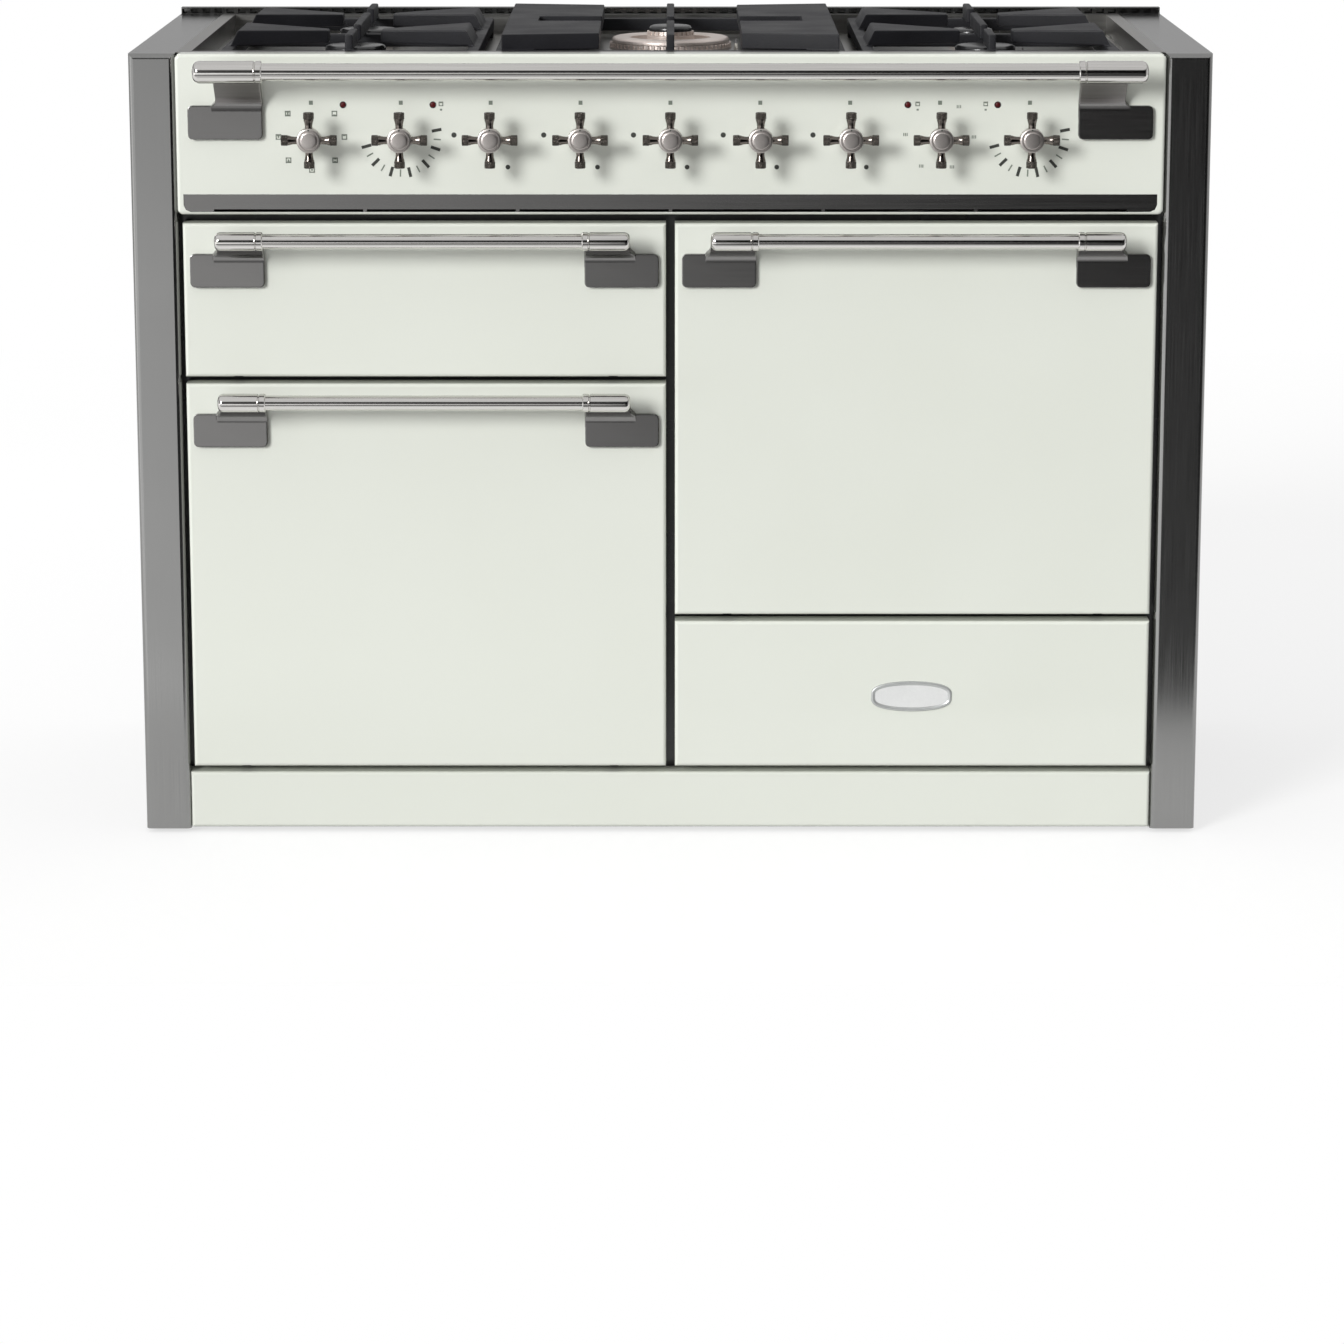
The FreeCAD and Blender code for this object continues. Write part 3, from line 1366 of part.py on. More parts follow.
def fan_cover_master():
    """Pressed cover over the fan with a ring of radial intake slots."""
    body = new_body("fan_cover")
    half = "fan_cover_width / 2"
    outline = sketch_on(body, "fan_cover_outline", "XZ_Plane")
    rectangle(outline, (f"-{half}", half), (f"-{half}", half))
    pad(body, outline, "fan_cover_depth", "fan_cover_block")
    hollow = sketch_on(body, "fan_cover_hollow", "XZ_Plane")
    inside = f"{half} - fan_cover_sheet"
    rectangle(hollow, (f"-({inside})", inside), (f"-({inside})", inside))
    pocket(body, hollow, "fan_cover_depth - fan_cover_sheet", "fan_cover_inside", along=True)
    slot = sketch_on(body, "fan_cover_slot", "XZ_Plane", "fan_cover_depth")
    rectangle(slot, ("fan_hub_radius * 1.5", "fan_radius * 0.8"), ("-port_width", "port_width"))
    first = pocket(body, slot, "2 * fan_cover_sheet", "fan_cover_first_slot")
    polar(body, first, "Y_Axis", FAN_COVER_SLOTS, "fan_cover_slots")
    return body


def fan_master():
    """Convection fan: an eight-sided plate on its shaft with straight radial blades."""
    body = new_body("convection_fan")
    disc = sketch_on(body, "convection_fan_disc_plan", "XZ_Plane", "-fan_disc_sheet")
    octagon(disc, "0", "0", "fan_radius")
    pad(body, disc, "fan_disc_sheet", "convection_fan_disc")
    shaft = sketch_on(body, "convection_fan_shaft_section", "XZ_Plane", "-fan_disc_sheet")
    circle(shaft, "0", "0", "fan_shaft_radius")
    pad(body, shaft, "fan_wall_gap + oven_sheet + motor_length / 2", "convection_fan_shaft", back=True)
    blade = sketch_on(body, "convection_fan_blade_plan", "XZ_Plane")
    blade_run = ("fan_hub_radius", "fan_radius - fan_disc_sheet")
    rectangle(blade, blade_run, ("-fan_disc_sheet / 2", "fan_disc_sheet / 2"))
    first = pad(body, blade, "fan_blade_depth", "convection_fan_blade")
    polar(body, first, "Y_Axis", FAN_BLADES, "convection_fan_blades")
    return body


def fan_motor_master():
    """Twelve-sided motor can behind the oven wall with a bearing bore for the shaft."""
    can = prism("fan_motor_can", "y", 12, "motor_radius", "motor_length", "0", "0", "0")
    bore = prism("fan_motor_bore", "y", 8, "fan_shaft_radius + fan_shaft_fit", "motor_length * 0.6",
                 "0", "0", "0")
    return cut("fan_motor", can, bore)


def ring_element_master():
    """Twelve-sided heating element round the fan with two tails to the oven wall."""
    depth = "2 * element_radius"
    outer = prism("ring_element_outer", "y", 12, "ring_radius + element_radius", depth, "0", "0", "0")
    inner = prism("ring_element_inner", "y", 12, "ring_radius - element_radius", depth, "0", "0", "0")
    ring = cut("ring_element", outer, inner)
    run = "fan_wall_gap + fan_disc_sheet + fan_blade_depth / 2"
    tails = []
    for side, sign in (("left", "-"), ("right", "")):
        tails.append(prism(f"ring_element_{side}_tail", "y", 6, "element_radius", run,
                           f"{sign}ring_radius", "0", "0"))
    return fuse("ring_element_set", ring, *tails)


ELEMENT_RUNS = 6


def broiler_element():
    """Serpentine heating tube under the broiler's roof, with both tails in the rear wall."""
    ends = {"near": "frame_back_y + broiler_element_front", "far": "broiler_back_y - broiler_element_front"}
    inward = {"near": "+", "far": "-"}
    bend = "broiler_element_pitch / 4"
    z = "door_top_z - aperture_head - broiler_element_drop"

    def run_x(index):
        return f"-column_x + broiler_element_pitch * {index - (ELEMENT_RUNS - 1) / 2}"

    points = [(run_x(0), "broiler_back_y", z)]
    for index in range(ELEMENT_RUNS - 1):
        side = "near" if index % 2 == 0 else "far"
        turn, straight = ends[side], f"{ends[side]} {inward[side]} {bend}"
        points.append((run_x(index), straight, z))
        points.append((f"{run_x(index)} + {bend}", turn, z))
        points.append((f"{run_x(index + 1)} - {bend}", turn, z))
        points.append((run_x(index + 1), straight, z))
    points.append((run_x(ELEMENT_RUNS - 1), "broiler_back_y", z))
    return pipe_run("broiler_element", points, "element_radius")


def heating_elements(ring):
    """The broiler's serpentine and a ring in each oven."""
    pieces = [broiler_element()]
    for name in ("left_oven", "right_oven"):
        x, z = fan_axis(name)
        y = "fan_mid_y - fan_blade_depth / 2"
        pieces.append(placed(f"{name}_ring_element", ring, x, y, z))
    return group("heating_elements", *pieces)


def broiler_pan():
    """Shallow pan whose side flanges rest on rails in the broiler walls."""
    body = new_body("broiler_pan")
    floor_z = "broiler_base_z + aperture_foot + broiler_pan_rise"
    top = f"{floor_z} + broiler_pan_height"
    half = "(aperture_half - guide_ledge)"
    ends = ("frame_back_y + broiler_pan_front", "broiler_back_y - broiler_pan_back")

    def span(sketch, reach, margin):
        return rectangle(sketch, (f"-column_x - {half} - ({reach})", f"-column_x + {half} + {reach}"),
                         (f"{ends[0]} + {margin}", f"{ends[1]} - ({margin})"))

    flange = span(sketch_on(body, "broiler_pan_flange_plan", "XY_Plane", top), "0", "0")
    pad(body, flange, "oven_sheet", "broiler_pan_flange_sheet", back=True)
    well = span(sketch_on(body, "broiler_pan_well_plan", "XY_Plane", top),
                "-broiler_pan_flange", "broiler_pan_flange")
    pad(body, well, "broiler_pan_height", "broiler_pan_well", back=True)
    hollow = span(sketch_on(body, "broiler_pan_hollow_plan", "XY_Plane", top),
                  "-broiler_pan_flange - oven_sheet", "broiler_pan_flange + oven_sheet")
    pocket(body, hollow, "broiler_pan_height - oven_sheet", "broiler_pan_inside")
    return body


def broiler_ledges():
    """Fixed ledges in the broiler walls, under the pan's flanges."""
    sides, rise = mouth("broiler")
    top = f"{rise[0]} + broiler_pan_rise + broiler_pan_height - oven_sheet"
    depth = ("frame_back_y + broiler_pan_front", "broiler_back_y")
    reach = "guide_ledge + broiler_pan_flange / 2"
    height = (f"{top} - guide_sheet", top)
    return [
        box("broiler_left_ledge", (sides[0], f"{sides[0]} + {reach}"), depth, height),
        box("broiler_right_ledge", (f"{sides[1]} - ({reach})", sides[1]), depth, height),
    ]


# Storage drawer

def storage_drawer():
    """Drawer front, its box and the pair of angle runners."""
    centre, low, high = "column_x", "door_base_z", "drawer_top_z"
    front = front_tray("drawer_front", centre, low, high)
    body = new_body("drawer_box")
    inner_cover(body, "drawer_box_cover", centre, low, high)
    sides = (f"{centre} - drawer_half", f"{centre} + drawer_half")
    ends = ("door_back_y", "door_back_y + drawer_depth")
    top = "drawer_box_z + drawer_box_height"
    plan = sketch_on(body, "drawer_box_plan", "XY_Plane", "drawer_box_z")
    rectangle(plan, sides, ends)
    pad(body, plan, "drawer_box_height", "drawer_box_block")
    hollow = sketch_on(body, "drawer_box_hollow", "XY_Plane", top)
    rectangle(hollow, (f"{sides[0]} + drawer_sheet", f"{sides[1]} - drawer_sheet"),
              (f"{ends[0]} + drawer_sheet", f"{ends[1]} - drawer_sheet"))
    pocket(body, hollow, "drawer_box_height - drawer_sheet", "drawer_box_inside")
    runners = []
    depth = ("frame_back_y", ends[1])
    ledge = ("drawer_box_z - runner_gap - runner_sheet", "drawer_box_z - runner_gap")
    for side, sign in (("left", "-"), ("right", "+")):
        near = f"{centre} {sign} (drawer_half - runner_ledge)"
        wall = f"{centre} {sign} (drawer_half + runner_gap)"
        far = f"{centre} {sign} (drawer_half + runner_gap + runner_sheet)"
        flat = (far, near) if side == "left" else (near, far)
        upright = (far, wall) if side == "left" else (wall, far)
        name = f"{side}_runner"
        web = box(name + "_web", upright, depth, ("plinth_top_z", "drawer_box_z + runner_web"))
        shelf = box(name + "_shelf", flat, depth, ledge)
        runners.append(fuse(name, web, shelf))
    return [front, body, group("drawer_runners", *runners)]


def assemble():
    """Every sub-part that is written out, each under its own label."""
    parts = [side_panels(), back_panel(), base_tray(), levelling_feet(), plinth(), front_frame()]
    parts += [door_seals(), fascia(), vent_trim(), indicator_lenses(), hob_tray(), rear_vent()]
    handle_half = "door_width / 2 - handle_end_inset"
    bar, brackets = handle_bar("handle", handle_half), handle_brackets("handle", "door_width / 2")
    for name, (centre, low, high) in DOORS.items():
        parts += door(name, centre, low, high)
        spot = (centre, "door_face_y", f"{high} - handle_drop")
        parts.append(placed(f"{name}_handle_bar", bar, *spot))
        parts.append(placed(f"{name}_handle_brackets", brackets, *spot))
    spot = ("0", "fascia_face_y", "rail_z")
    parts.append(placed("rail_bar", handle_bar("rail", "fascia_half - rail_end_inset"), *spot))
    parts.append(placed("rail_brackets", handle_brackets("rail", "fascia_half"), *spot))
    parts += controls()
    heads, lids, cups = burners()
    parts += [heads, lids, gas_fittings(cups), *pan_supports()]
    parts += [cavity(name) for name in CAVITIES]
    cover, fan, motor = fan_cover_master(), fan_master(), fan_motor_master()
    covers, motors = [], []
    for name in ("left_oven", "right_oven"):
        x, z = fan_axis(name)
        parts.append(placed(f"{name}_fan", fan, x, "fan_mid_y", z))
        covers.append(placed(f"{name}_fan_cover", cover, x, "oven_back_y", z))
        motors.append(placed(f"{name}_fan_motor", motor, x, "oven_back_y + oven_sheet", z))
    parts += [group("fan_covers", *covers), group("fan_motors", *motors)]
    parts += [heating_elements(ring_element_master()), oven_racks(), broiler_pan(), *storage_drawer()]
    return parts


def write_out(parts):
    """Checks every object and every shape, then writes one file per sub-part."""
    doc.recompute()
    for thing in doc.Objects:
        if {"Invalid", "Error"} & set(thing.State):
            raise ValueError(f"{thing.Label} failed: {thing.State}")
    for part in parts:
        if part.Shape.isNull() or not part.Shape.isValid():
            raise ValueError(f"{part.Label} has no sound shape")
    os.makedirs("parts", exist_ok=True)
    for part in parts:
        part.Shape.exportStep(f"parts/{part.Label}.step")
        print(f"{part.Label}: {len(part.Shape.Solids)} solids, {part.Shape.Volume / 1000:.1f} cm3")
    print(f"{len(parts)} sub-parts")


write_out(assemble())
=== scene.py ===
# %% [markdown]
# # A dual fuel range cooker
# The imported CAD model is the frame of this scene: sheet-metal pieces keep their CAD shape and get a
# finish here, and turned, cast or wire pieces are drawn again with the roundness that CAD leaves out.
# Everything is in metres, with the doors facing -Y and the floor at z = 0.

# %% Load the frame
import json
from math import atan2, copysign, cos, pi, radians, sin, tau

import bmesh
import bpy
from mathutils import Matrix, Vector


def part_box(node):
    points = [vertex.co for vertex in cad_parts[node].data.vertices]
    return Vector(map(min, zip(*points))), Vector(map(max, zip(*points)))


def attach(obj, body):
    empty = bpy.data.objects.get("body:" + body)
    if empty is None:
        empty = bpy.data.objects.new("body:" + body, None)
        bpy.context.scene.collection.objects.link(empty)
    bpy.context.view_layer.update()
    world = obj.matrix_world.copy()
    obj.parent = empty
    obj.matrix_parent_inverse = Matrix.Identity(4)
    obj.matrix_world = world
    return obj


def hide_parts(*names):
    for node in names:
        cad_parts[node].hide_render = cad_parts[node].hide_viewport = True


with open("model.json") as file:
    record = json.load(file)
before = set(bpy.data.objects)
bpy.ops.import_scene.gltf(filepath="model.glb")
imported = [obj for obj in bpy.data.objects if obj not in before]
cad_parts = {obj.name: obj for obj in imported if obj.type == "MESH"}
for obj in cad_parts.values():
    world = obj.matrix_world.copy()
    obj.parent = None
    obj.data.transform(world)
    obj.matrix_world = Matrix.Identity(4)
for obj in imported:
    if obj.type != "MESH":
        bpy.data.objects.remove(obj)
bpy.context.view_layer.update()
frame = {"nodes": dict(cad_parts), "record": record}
scene = bpy.context.scene
scene.view_settings.view_transform = "Standard"

# %% [markdown]
# ## Writing node trees like sums
# A node tree is easier to read as arithmetic than as a list of links. This small class wraps one
# socket. Its operators add Math nodes, and `node` adds any other kind: settings first, then inputs.
# The last few methods name what is needed most: a ramp, a blend of colours, vectors, noise and bumps.


# %% The socket class
class Wire:
    """One output socket of a node tree, which can be added, multiplied and fed to other nodes."""

    def __init__(self, tree, socket=None):
        self.tree = tree
        self.socket = socket

    def node(self, kind, inputs=None, out=0, **settings):
        made = self.tree.nodes.new(kind)
        for name, setting in settings.items():
            setattr(made, name, setting)
        for key, given in (inputs or {}).items():
            if isinstance(given, Wire):
                self.tree.links.new(given.socket, made.inputs[key])
            else:
                made.inputs[key].default_value = given
        return Wire(self.tree, made.outputs[out])

    def math(self, operation, *others):
        terms = dict(enumerate((self, *others)))
        return self.node("ShaderNodeMath", terms, operation=operation)

    def __add__(self, other):
        return self.math("ADD", other)

    def __sub__(self, other):
        return self.math("SUBTRACT", other)

    def __mul__(self, other):
        return self.math("MULTIPLY", other)

    def __truediv__(self, other):
        return self.math("DIVIDE", other)

    def geo(self, kind, **inputs):
        """A Geometry Nodes node; an underscore in an input's name stands for a space."""
        feeds = {name.replace("_", " "): given for name, given in inputs.items()}
        return self.node("GeometryNode" + kind, feeds)

    def ramp(self, low, high, start=0.0, end=1.0):
        """Maps low..high to start..end and stops there."""
        values = {"Value": self, "From Min": low, "From Max": high, "To Min": start, "To Max": end}
        return self.node("ShaderNodeMapRange", values, clamp=True)

    def mix(self, first, second):
        """Blends two colours, with this wire as the factor."""
        return self.node("ShaderNodeMix", {0: self, 6: first, 7: second}, out=2, data_type="RGBA")

    def vector(self, x=0.0, y=0.0, z=0.0):
        return self.node("ShaderNodeCombineXYZ", {"X": x, "Y": y, "Z": z})

    def split(self):
        """The three numbers of a vector."""
        parted = self.node("ShaderNodeSeparateXYZ", {0: self}).socket.node
        return [Wire(self.tree, socket) for socket in parted.outputs]

    def stretched(self, *scales):
        """A position scaled on each axis, for grain that runs along one of them."""
        return self.node("ShaderNodeVectorMath", {0: self, 1: scales}, operation="MULTIPLY")

    def noise(self, scale, detail=3.0, rough=0.5):
        feeds = {"Vector": self, "Scale": scale, "Detail": detail, "Roughness": rough}
        return self.node("ShaderNodeTexNoise", feeds)

    def bump(self, strength, depth):
        """A normal that follows this wire as a height."""
        return self.node("ShaderNodeBump", {"Strength": strength, "Distance": depth, "Height": self})


# %% [markdown]
# ## Finishes
# Colours are written as they look on a screen and turned to linear light once. Every finish starts
# from the same helper: one Principled shader whose constants are set directly, and whose varying
# sockets are fed by a few lines of wire arithmetic. A finish with the name of a record slot is used
# on every CAD node of that slot.


# %% Finish helpers
FINISHES = {}


def shade(red, green, blue):
    """Screen colour in 0..255 to linear RGBA."""
    def linear(level):
        level = level / 255
        return level / 12.92 if level <= 0.04045 else ((level + 0.055) / 1.055) ** 2.4
    return (linear(red), linear(green), linear(blue), 1.0)


def finish(name, paint, **constants):
    """Keeps a material by its name; `paint` gets the position and returns socket feeds."""
    material = bpy.data.materials.new(name)
    material.use_nodes = True
    tree = material.node_tree
    shader = tree.nodes["Principled BSDF"]
    for socket, level in constants.items():
        shader.inputs[socket.replace("_", " ")].default_value = level
    place = Wire(tree).node("ShaderNodeTexCoord", out="Object")
    for socket, wire in paint(place).items():
        tree.links.new(wire.socket, shader.inputs[socket.replace("_", " ")])
    FINISHES[name] = material


# %% Enamel: warm white glass over steel, with a soft ripple and cloudy depth
def enamel_paint(place):
    cloud = place.noise(5.0, 2.0)
    speck = place.noise(900.0, 1.0)
    ripple = place.noise(70.0, 2.0)
    tint = (cloud * 0.7 + speck * 0.3).ramp(0.2, 0.8)
    return {
        "Base_Color": tint.mix(shade(225, 228, 218), shade(229, 232, 223)),
        "Roughness": cloud.ramp(0.2, 0.8, 0.22, 0.28),
        "Normal": ripple.bump(0.03, 0.0003),
    }


finish("enamel", enamel_paint, Coat_Weight=0.35, Coat_Roughness=0.05, IOR=1.5)


# %% Brushed metals: one recipe, with the grain's direction and the two tones it runs between
def brushed(name, dark, light, grain, rough):
    def paint(place):
        lines = place.stretched(*grain).noise(1.0, 4.0, 0.65)
        patch = place.noise(6.0, 2.0)
        tone = (lines * 0.75 + patch * 0.25).ramp(0.3, 0.7)
        return {
            "Base_Color": tone.mix(shade(*dark), shade(*light)),
            "Roughness": lines.ramp(0.3, 0.7, rough - 0.03, rough + 0.05),
            "Normal": lines.bump(0.25, 0.00001),
        }
    finish(name, paint, Metallic=1.0)


brushed("side_steel", (138, 138, 137), (152, 152, 151), (900, 900, 8), 0.17)
brushed("bright_steel", (198, 196, 193), (220, 218, 215), (6, 900, 900), 0.12)
brushed("bracket_steel", (122, 121, 120), (134, 133, 132), (8, 900, 900), 0.18)
# The neck's finish is the bracket's steel painted lighter: a painted sheen for the overhead light its curve
# catches.
brushed("neck_steel", (128, 125, 124), (144, 141, 140), (8, 900, 900), 0.30)
brushed("hob_steel", (150, 149, 146), (172, 171, 168), (6, 700, 700), 0.30)
brushed("knob_steel", (184, 178, 174), (204, 198, 194), (700, 60, 700), 0.32)
# The arms' finish is the hub's steel painted darker: painted shade for the dark the round arms reflect.
brushed("arm_steel", (104, 98, 93), (130, 123, 117), (700, 60, 700), 0.17)


# %% Black enamel, cast iron and the hidden metals
def black_paint(place):
    cloud = place.noise(8.0, 3.0)
    speck = place.noise(650.0, 1.0).ramp(0.62, 0.70)
    return {
        "Base_Color": (speck * 0.35 + cloud * 0.3).mix(shade(20, 20, 21), shade(58, 58, 60)),
        "Roughness": cloud.ramp(0.3, 0.7, 0.24, 0.36),
        "Normal": place.noise(120.0).bump(0.06, 0.0004),
    }


def iron_paint(place):
    grit = place.noise(520.0, 4.0, 0.7)
    cloud = place.noise(14.0, 3.0)
    return {
        "Base_Color": (grit * 0.5 + cloud * 0.5).ramp(0.3, 0.7).mix(shade(16, 16, 19), shade(32, 32, 37)),
        "Roughness": cloud.ramp(0.3, 0.7, 0.46, 0.62),
        "Normal": grit.bump(0.30, 0.0006),
    }


def spangle_paint(place):
    cells = place.node("ShaderNodeTexVoronoi", {"Vector": place, "Scale": 90.0}, out="Color")
    tone = place.node("ShaderNodeSeparateColor", {"Color": cells})
    haze = place.noise(12.0, 3.0)
    return {
        "Base_Color": (tone * 0.6 + haze * 0.4).mix(shade(150, 153, 156), shade(196, 199, 202)),
        "Roughness": tone.ramp(0.0, 1.0, 0.34, 0.5),
    }


def cast(name, dark, light, **constants):
    def paint(place):
        grain = place.noise(380.0, 3.0, 0.6)
        cloud = place.noise(20.0, 2.0)
        return {
            "Base_Color": (grain * 0.4 + cloud * 0.6).ramp(0.3, 0.7).mix(shade(*dark), shade(*light)),
            "Roughness": grain.ramp(0.3, 0.7, 0.3, 0.48),
            "Normal": grain.bump(0.15, 0.0003),
        }
    finish(name, paint, **constants)


finish("black_enamel", black_paint, Coat_Weight=0.3, Coat_Roughness=0.1)
finish("cast_iron", iron_paint, Specular_IOR_Level=0.35)
finish("galvanised", spangle_paint, Metallic=1.0)
cast("aluminium", (206, 194, 187), (226, 215, 208), Metallic=0.55)
cast("brass", (168, 131, 70), (201, 164, 98), Metallic=1.0)
cast("element_steel", (58, 54, 51), (84, 79, 74), Metallic=0.8)
cast("chrome_wire", (186, 186, 188), (214, 214, 216), Metallic=1.0)
cast("seal_rubber", (22, 22, 23), (36, 36, 37), Specular_IOR_Level=0.3)
cast("foot_plastic", (24, 24, 25), (38, 38, 39))
cast("red_lens", (64, 6, 10), (92, 12, 16), Coat_Weight=0.15, Specular_IOR_Level=0.25)
cast("ceramic", (222, 218, 208), (236, 233, 226), Coat_Weight=0.4)
cast("lamp_glass", (206, 208, 204), (226, 228, 224), Coat_Weight=0.8)
cast("plaque_rim", (176, 178, 177), (190, 192, 191), Metallic=0.6)
cast("plaque_satin", (226, 227, 226), (236, 237, 236), Metallic=0.25)

# %% Give every CAD node the finish of its record slot
for part in frame["record"]["subparts"]:
    mesh = frame["nodes"][part["node"]].data
    mesh.materials.clear()
    mesh.materials.append(FINISHES[part["material_slot"]])

# %% [markdown]
# ## Tools for drawing pieces
# Three ways of making metal cover most of a cooker: turning on a lathe, pressing or casting from an
# outline, and bending along a path. Each gets one function here. Sizes are written in millimetres,
# as on a workshop drawing, and scaled once when the mesh is made.

# %% Mesh helpers
MM = 0.001
CREASE = radians(35)
FRONT, BACK, UP = (0, -1, 0), (0, 1, 0), (0, 0, 1)


def lathe(bm, origin, axis, profile, steps, paint=0):
    """Turns (distance along the axis, radius) points about an axis through the origin.

    `paint` is the number of the piece's coat for these faces."""
    axis = Vector(axis).normalized()
    side = axis.orthogonal().normalized()
    up = axis.cross(side)
    origin = Vector(origin)
    rings = []
    for along, radius in profile:
        middle = origin + axis * along
        if radius < 1e-6:
            rings.append([bm.verts.new(middle)])
            continue
        turns = [tau * step / steps for step in range(steps)]
        rings.append([bm.verts.new(middle + (side * cos(a) + up * sin(a)) * radius) for a in turns])
    faces = skin(bm, rings)
    for face in faces:
        face.material_index = paint
    return faces


def skin(bm, rings, capped=False):
    """Joins neighbouring closed rings of points with faces; a ring of one point closes the end."""
    faces = []
    for first, second in zip(rings, rings[1:]):
        count = max(len(first), len(second))
        for step in range(count):
            corners = [first[step % len(first)], first[(step + 1) % len(first)],
                       second[(step + 1) % len(second)], second[step % len(second)]]
            corners = list(dict.fromkeys(corners))
            if len(corners) > 2:
                faces.append(bm.faces.new(corners))
    if capped:
        faces += [bm.faces.new(rings[0]), bm.faces.new(rings[-1])]
    return faces


def block(bm, low, high, bevel=0.0):
    """A box between two corners, with its edges rounded."""
    made = bmesh.ops.create_cube(bm, size=1.0)["verts"]
    for vert in made:
        vert.co = Vector(a + (b - a) * (share + 0.5) for a, b, share in zip(low, high, vert.co))
    if bevel:
        edges = list(dict.fromkeys(edge for vert in made for edge in vert.link_edges))
        bmesh.ops.bevel(bm, geom=edges, offset=bevel, segments=2, profile=0.5, affect="EDGES")


def rectangle(x, z, radius, steps=6):
    """An outline with rounded corners, anticlockwise; `x` and `z` are its (low, high) edges."""
    corners = [Vector(spot) for spot in ((x[0], z[0]), (x[1], z[0]), (x[1], z[1]), (x[0], z[1]))]
    outline = []
    for index, corner in enumerate(corners):
        start = corner + (corners[index - 1] - corner).normalized() * radius
        end = corner + (corners[(index + 1) % 4] - corner).normalized() * radius
        for step in range(steps + 1):
            t = step / steps
            outline.append(start * (1 - t) ** 2 + corner * 2 * t * (1 - t) + end * t ** 2)
    return outline


def pressed(bm, outline, place, layers):
    """Stacks copies of a 2-D outline, each drawn in by an inset, and closes both ends.

    `place` turns (x, y, height) into a point; `layers` are (height, inset) pairs."""
    count = len(outline)
    normals = []
    for index in range(count):
        run = Vector(outline[(index + 1) % count]) - Vector(outline[index - 1])
        normals.append(Vector((-run.y, run.x)).normalized())
    rings = []
    for height, inset in layers:
        spots = [Vector(spot) + normal * inset for spot, normal in zip(outline, normals)]
        rings.append([bm.verts.new(place(spot.x, spot.y, height)) for spot in spots])
    skin(bm, rings, capped=True)


def plate(bm, x, z, corner, place, layers):
    pressed(bm, rectangle(x, z, corner), place, layers)


def upright(y, facing, x0=0, z0=0):
    """Places a pressing on an upright sheet that faces the front (-1) or the back (1)."""
    return lambda x, z, lift: (x0 + x, y + facing * lift, z0 + z)


def smooth_path(points, steps):
    """Points along a smooth curve that passes through all the given tuples of numbers."""
    ends = [points[0], *points, points[-1]]
    out = []
    for a, b, c, d in zip(ends, ends[1:], ends[2:], ends[3:]):
        for step in range(steps):
            t = step / steps
            out.append(tuple(
                0.5 * (2 * q + (r - p) * t + (2 * p - 5 * q + 4 * r - s) * t * t
                       + (3 * q - p - 3 * r + s) * t ** 3)
                for p, q, r, s in zip(a, b, c, d)))
    return out + [points[-1]]


def firm(mesh):
    """Lets the large faces rule the shading at every corner, so flat plates stay flat beside bevels."""
    limit = cos(CREASE)
    around = [[] for vert in mesh.vertices]
    for face in mesh.polygons:
        for corner in face.vertices:
            around[corner].append((face.normal.copy(), face.area))
    normals = []
    for face in mesh.polygons:
        own = face.normal.copy()
        for corner in face.vertices:
            near = [way * area for way, area in around[corner] if way.dot(own) > limit]
            normals.append(sum(near, own * 1e-9).normalized())
    mesh.normals_split_custom_set(normals)


def piece(name, bm, slot, *coats, body="cabinet", stands_for=()):
    """Makes a drawing in millimetres an object that rides on a body.

    Its coats are names of finishes; without any it gets the finish of its slot."""
    bmesh.ops.recalc_face_normals(bm, faces=bm.faces)
    mesh = bpy.data.meshes.new(name)
    bm.to_mesh(mesh)
    bm.free()
    mesh.transform(Matrix.Scale(MM, 4))
    dress(bpy.data.objects.new(name, mesh), body, slot, coats, stands_for)


def dress(thing, body, slot, coats, stands_for):
    mesh = thing.data
    mesh.shade_smooth()
    mesh.set_sharp_from_angle(angle=CREASE)
    firm(mesh)
    for coat in coats or [slot]:
        mesh.materials.append(FINISHES[coat])
    if thing.name not in scene.collection.objects:
        scene.collection.objects.link(thing)
    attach(thing, body)
    if stands_for:
        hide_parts(*stands_for)
    print(f"{thing.name}: {len(mesh.vertices)} points on {body}")


# %% [markdown]
# ## Node trees that repeat a shape
# Ticks round a dial, wires across a shelf, posts along a vent and screws over a sheet are one shape
# repeated. A Geometry Nodes tree says the rule once. Its named inputs are set for each piece, and
# the result is kept as a plain mesh, so the piece no longer depends on the tree.


# %% Tree helpers
def make_tree(rule, **inputs):
    """A tree with named number inputs. `rule` gets a wire and the inputs, and returns geometry.

    At its end, instances become mesh and the mesh gets its material."""
    tree = bpy.data.node_groups.new(rule.__name__, "GeometryNodeTree")
    tree.interface.new_socket("Geometry", in_out="INPUT", socket_type="NodeSocketGeometry")
    for label, level in inputs.items():
        kind = "NodeSocketInt" if isinstance(level, int) else "NodeSocketFloat"
        tree.interface.new_socket(label, in_out="INPUT", socket_type=kind).default_value = level
    tree.interface.new_socket("Material", in_out="INPUT", socket_type="NodeSocketMaterial")
    tree.interface.new_socket("Geometry", in_out="OUTPUT", socket_type="NodeSocketGeometry")
    source = tree.nodes.new("NodeGroupInput")
    into = {socket.name: Wire(tree, socket) for socket in source.outputs if socket.name}
    start = Wire(tree)
    solid = start.geo("RealizeInstances", Geometry=rule(start, into))
    coated = start.geo("SetMaterial", Geometry=solid, Material=into["Material"])
    tree.links.new(coated.socket, tree.nodes.new("NodeGroupOutput").inputs["Geometry"])
    print("tree", tree.name, "with inputs", *inputs)
    return tree


def copies(points, shape, **turn):
    """One copy of a shape at every point; `Rotation` may turn each of them."""
    return shape.geo("InstanceOnPoints", Points=points, Instance=shape, **turn)


def bar_of(start, x, y, z):
    return start.geo("MeshCube", Size=start.vector(x, y, z))


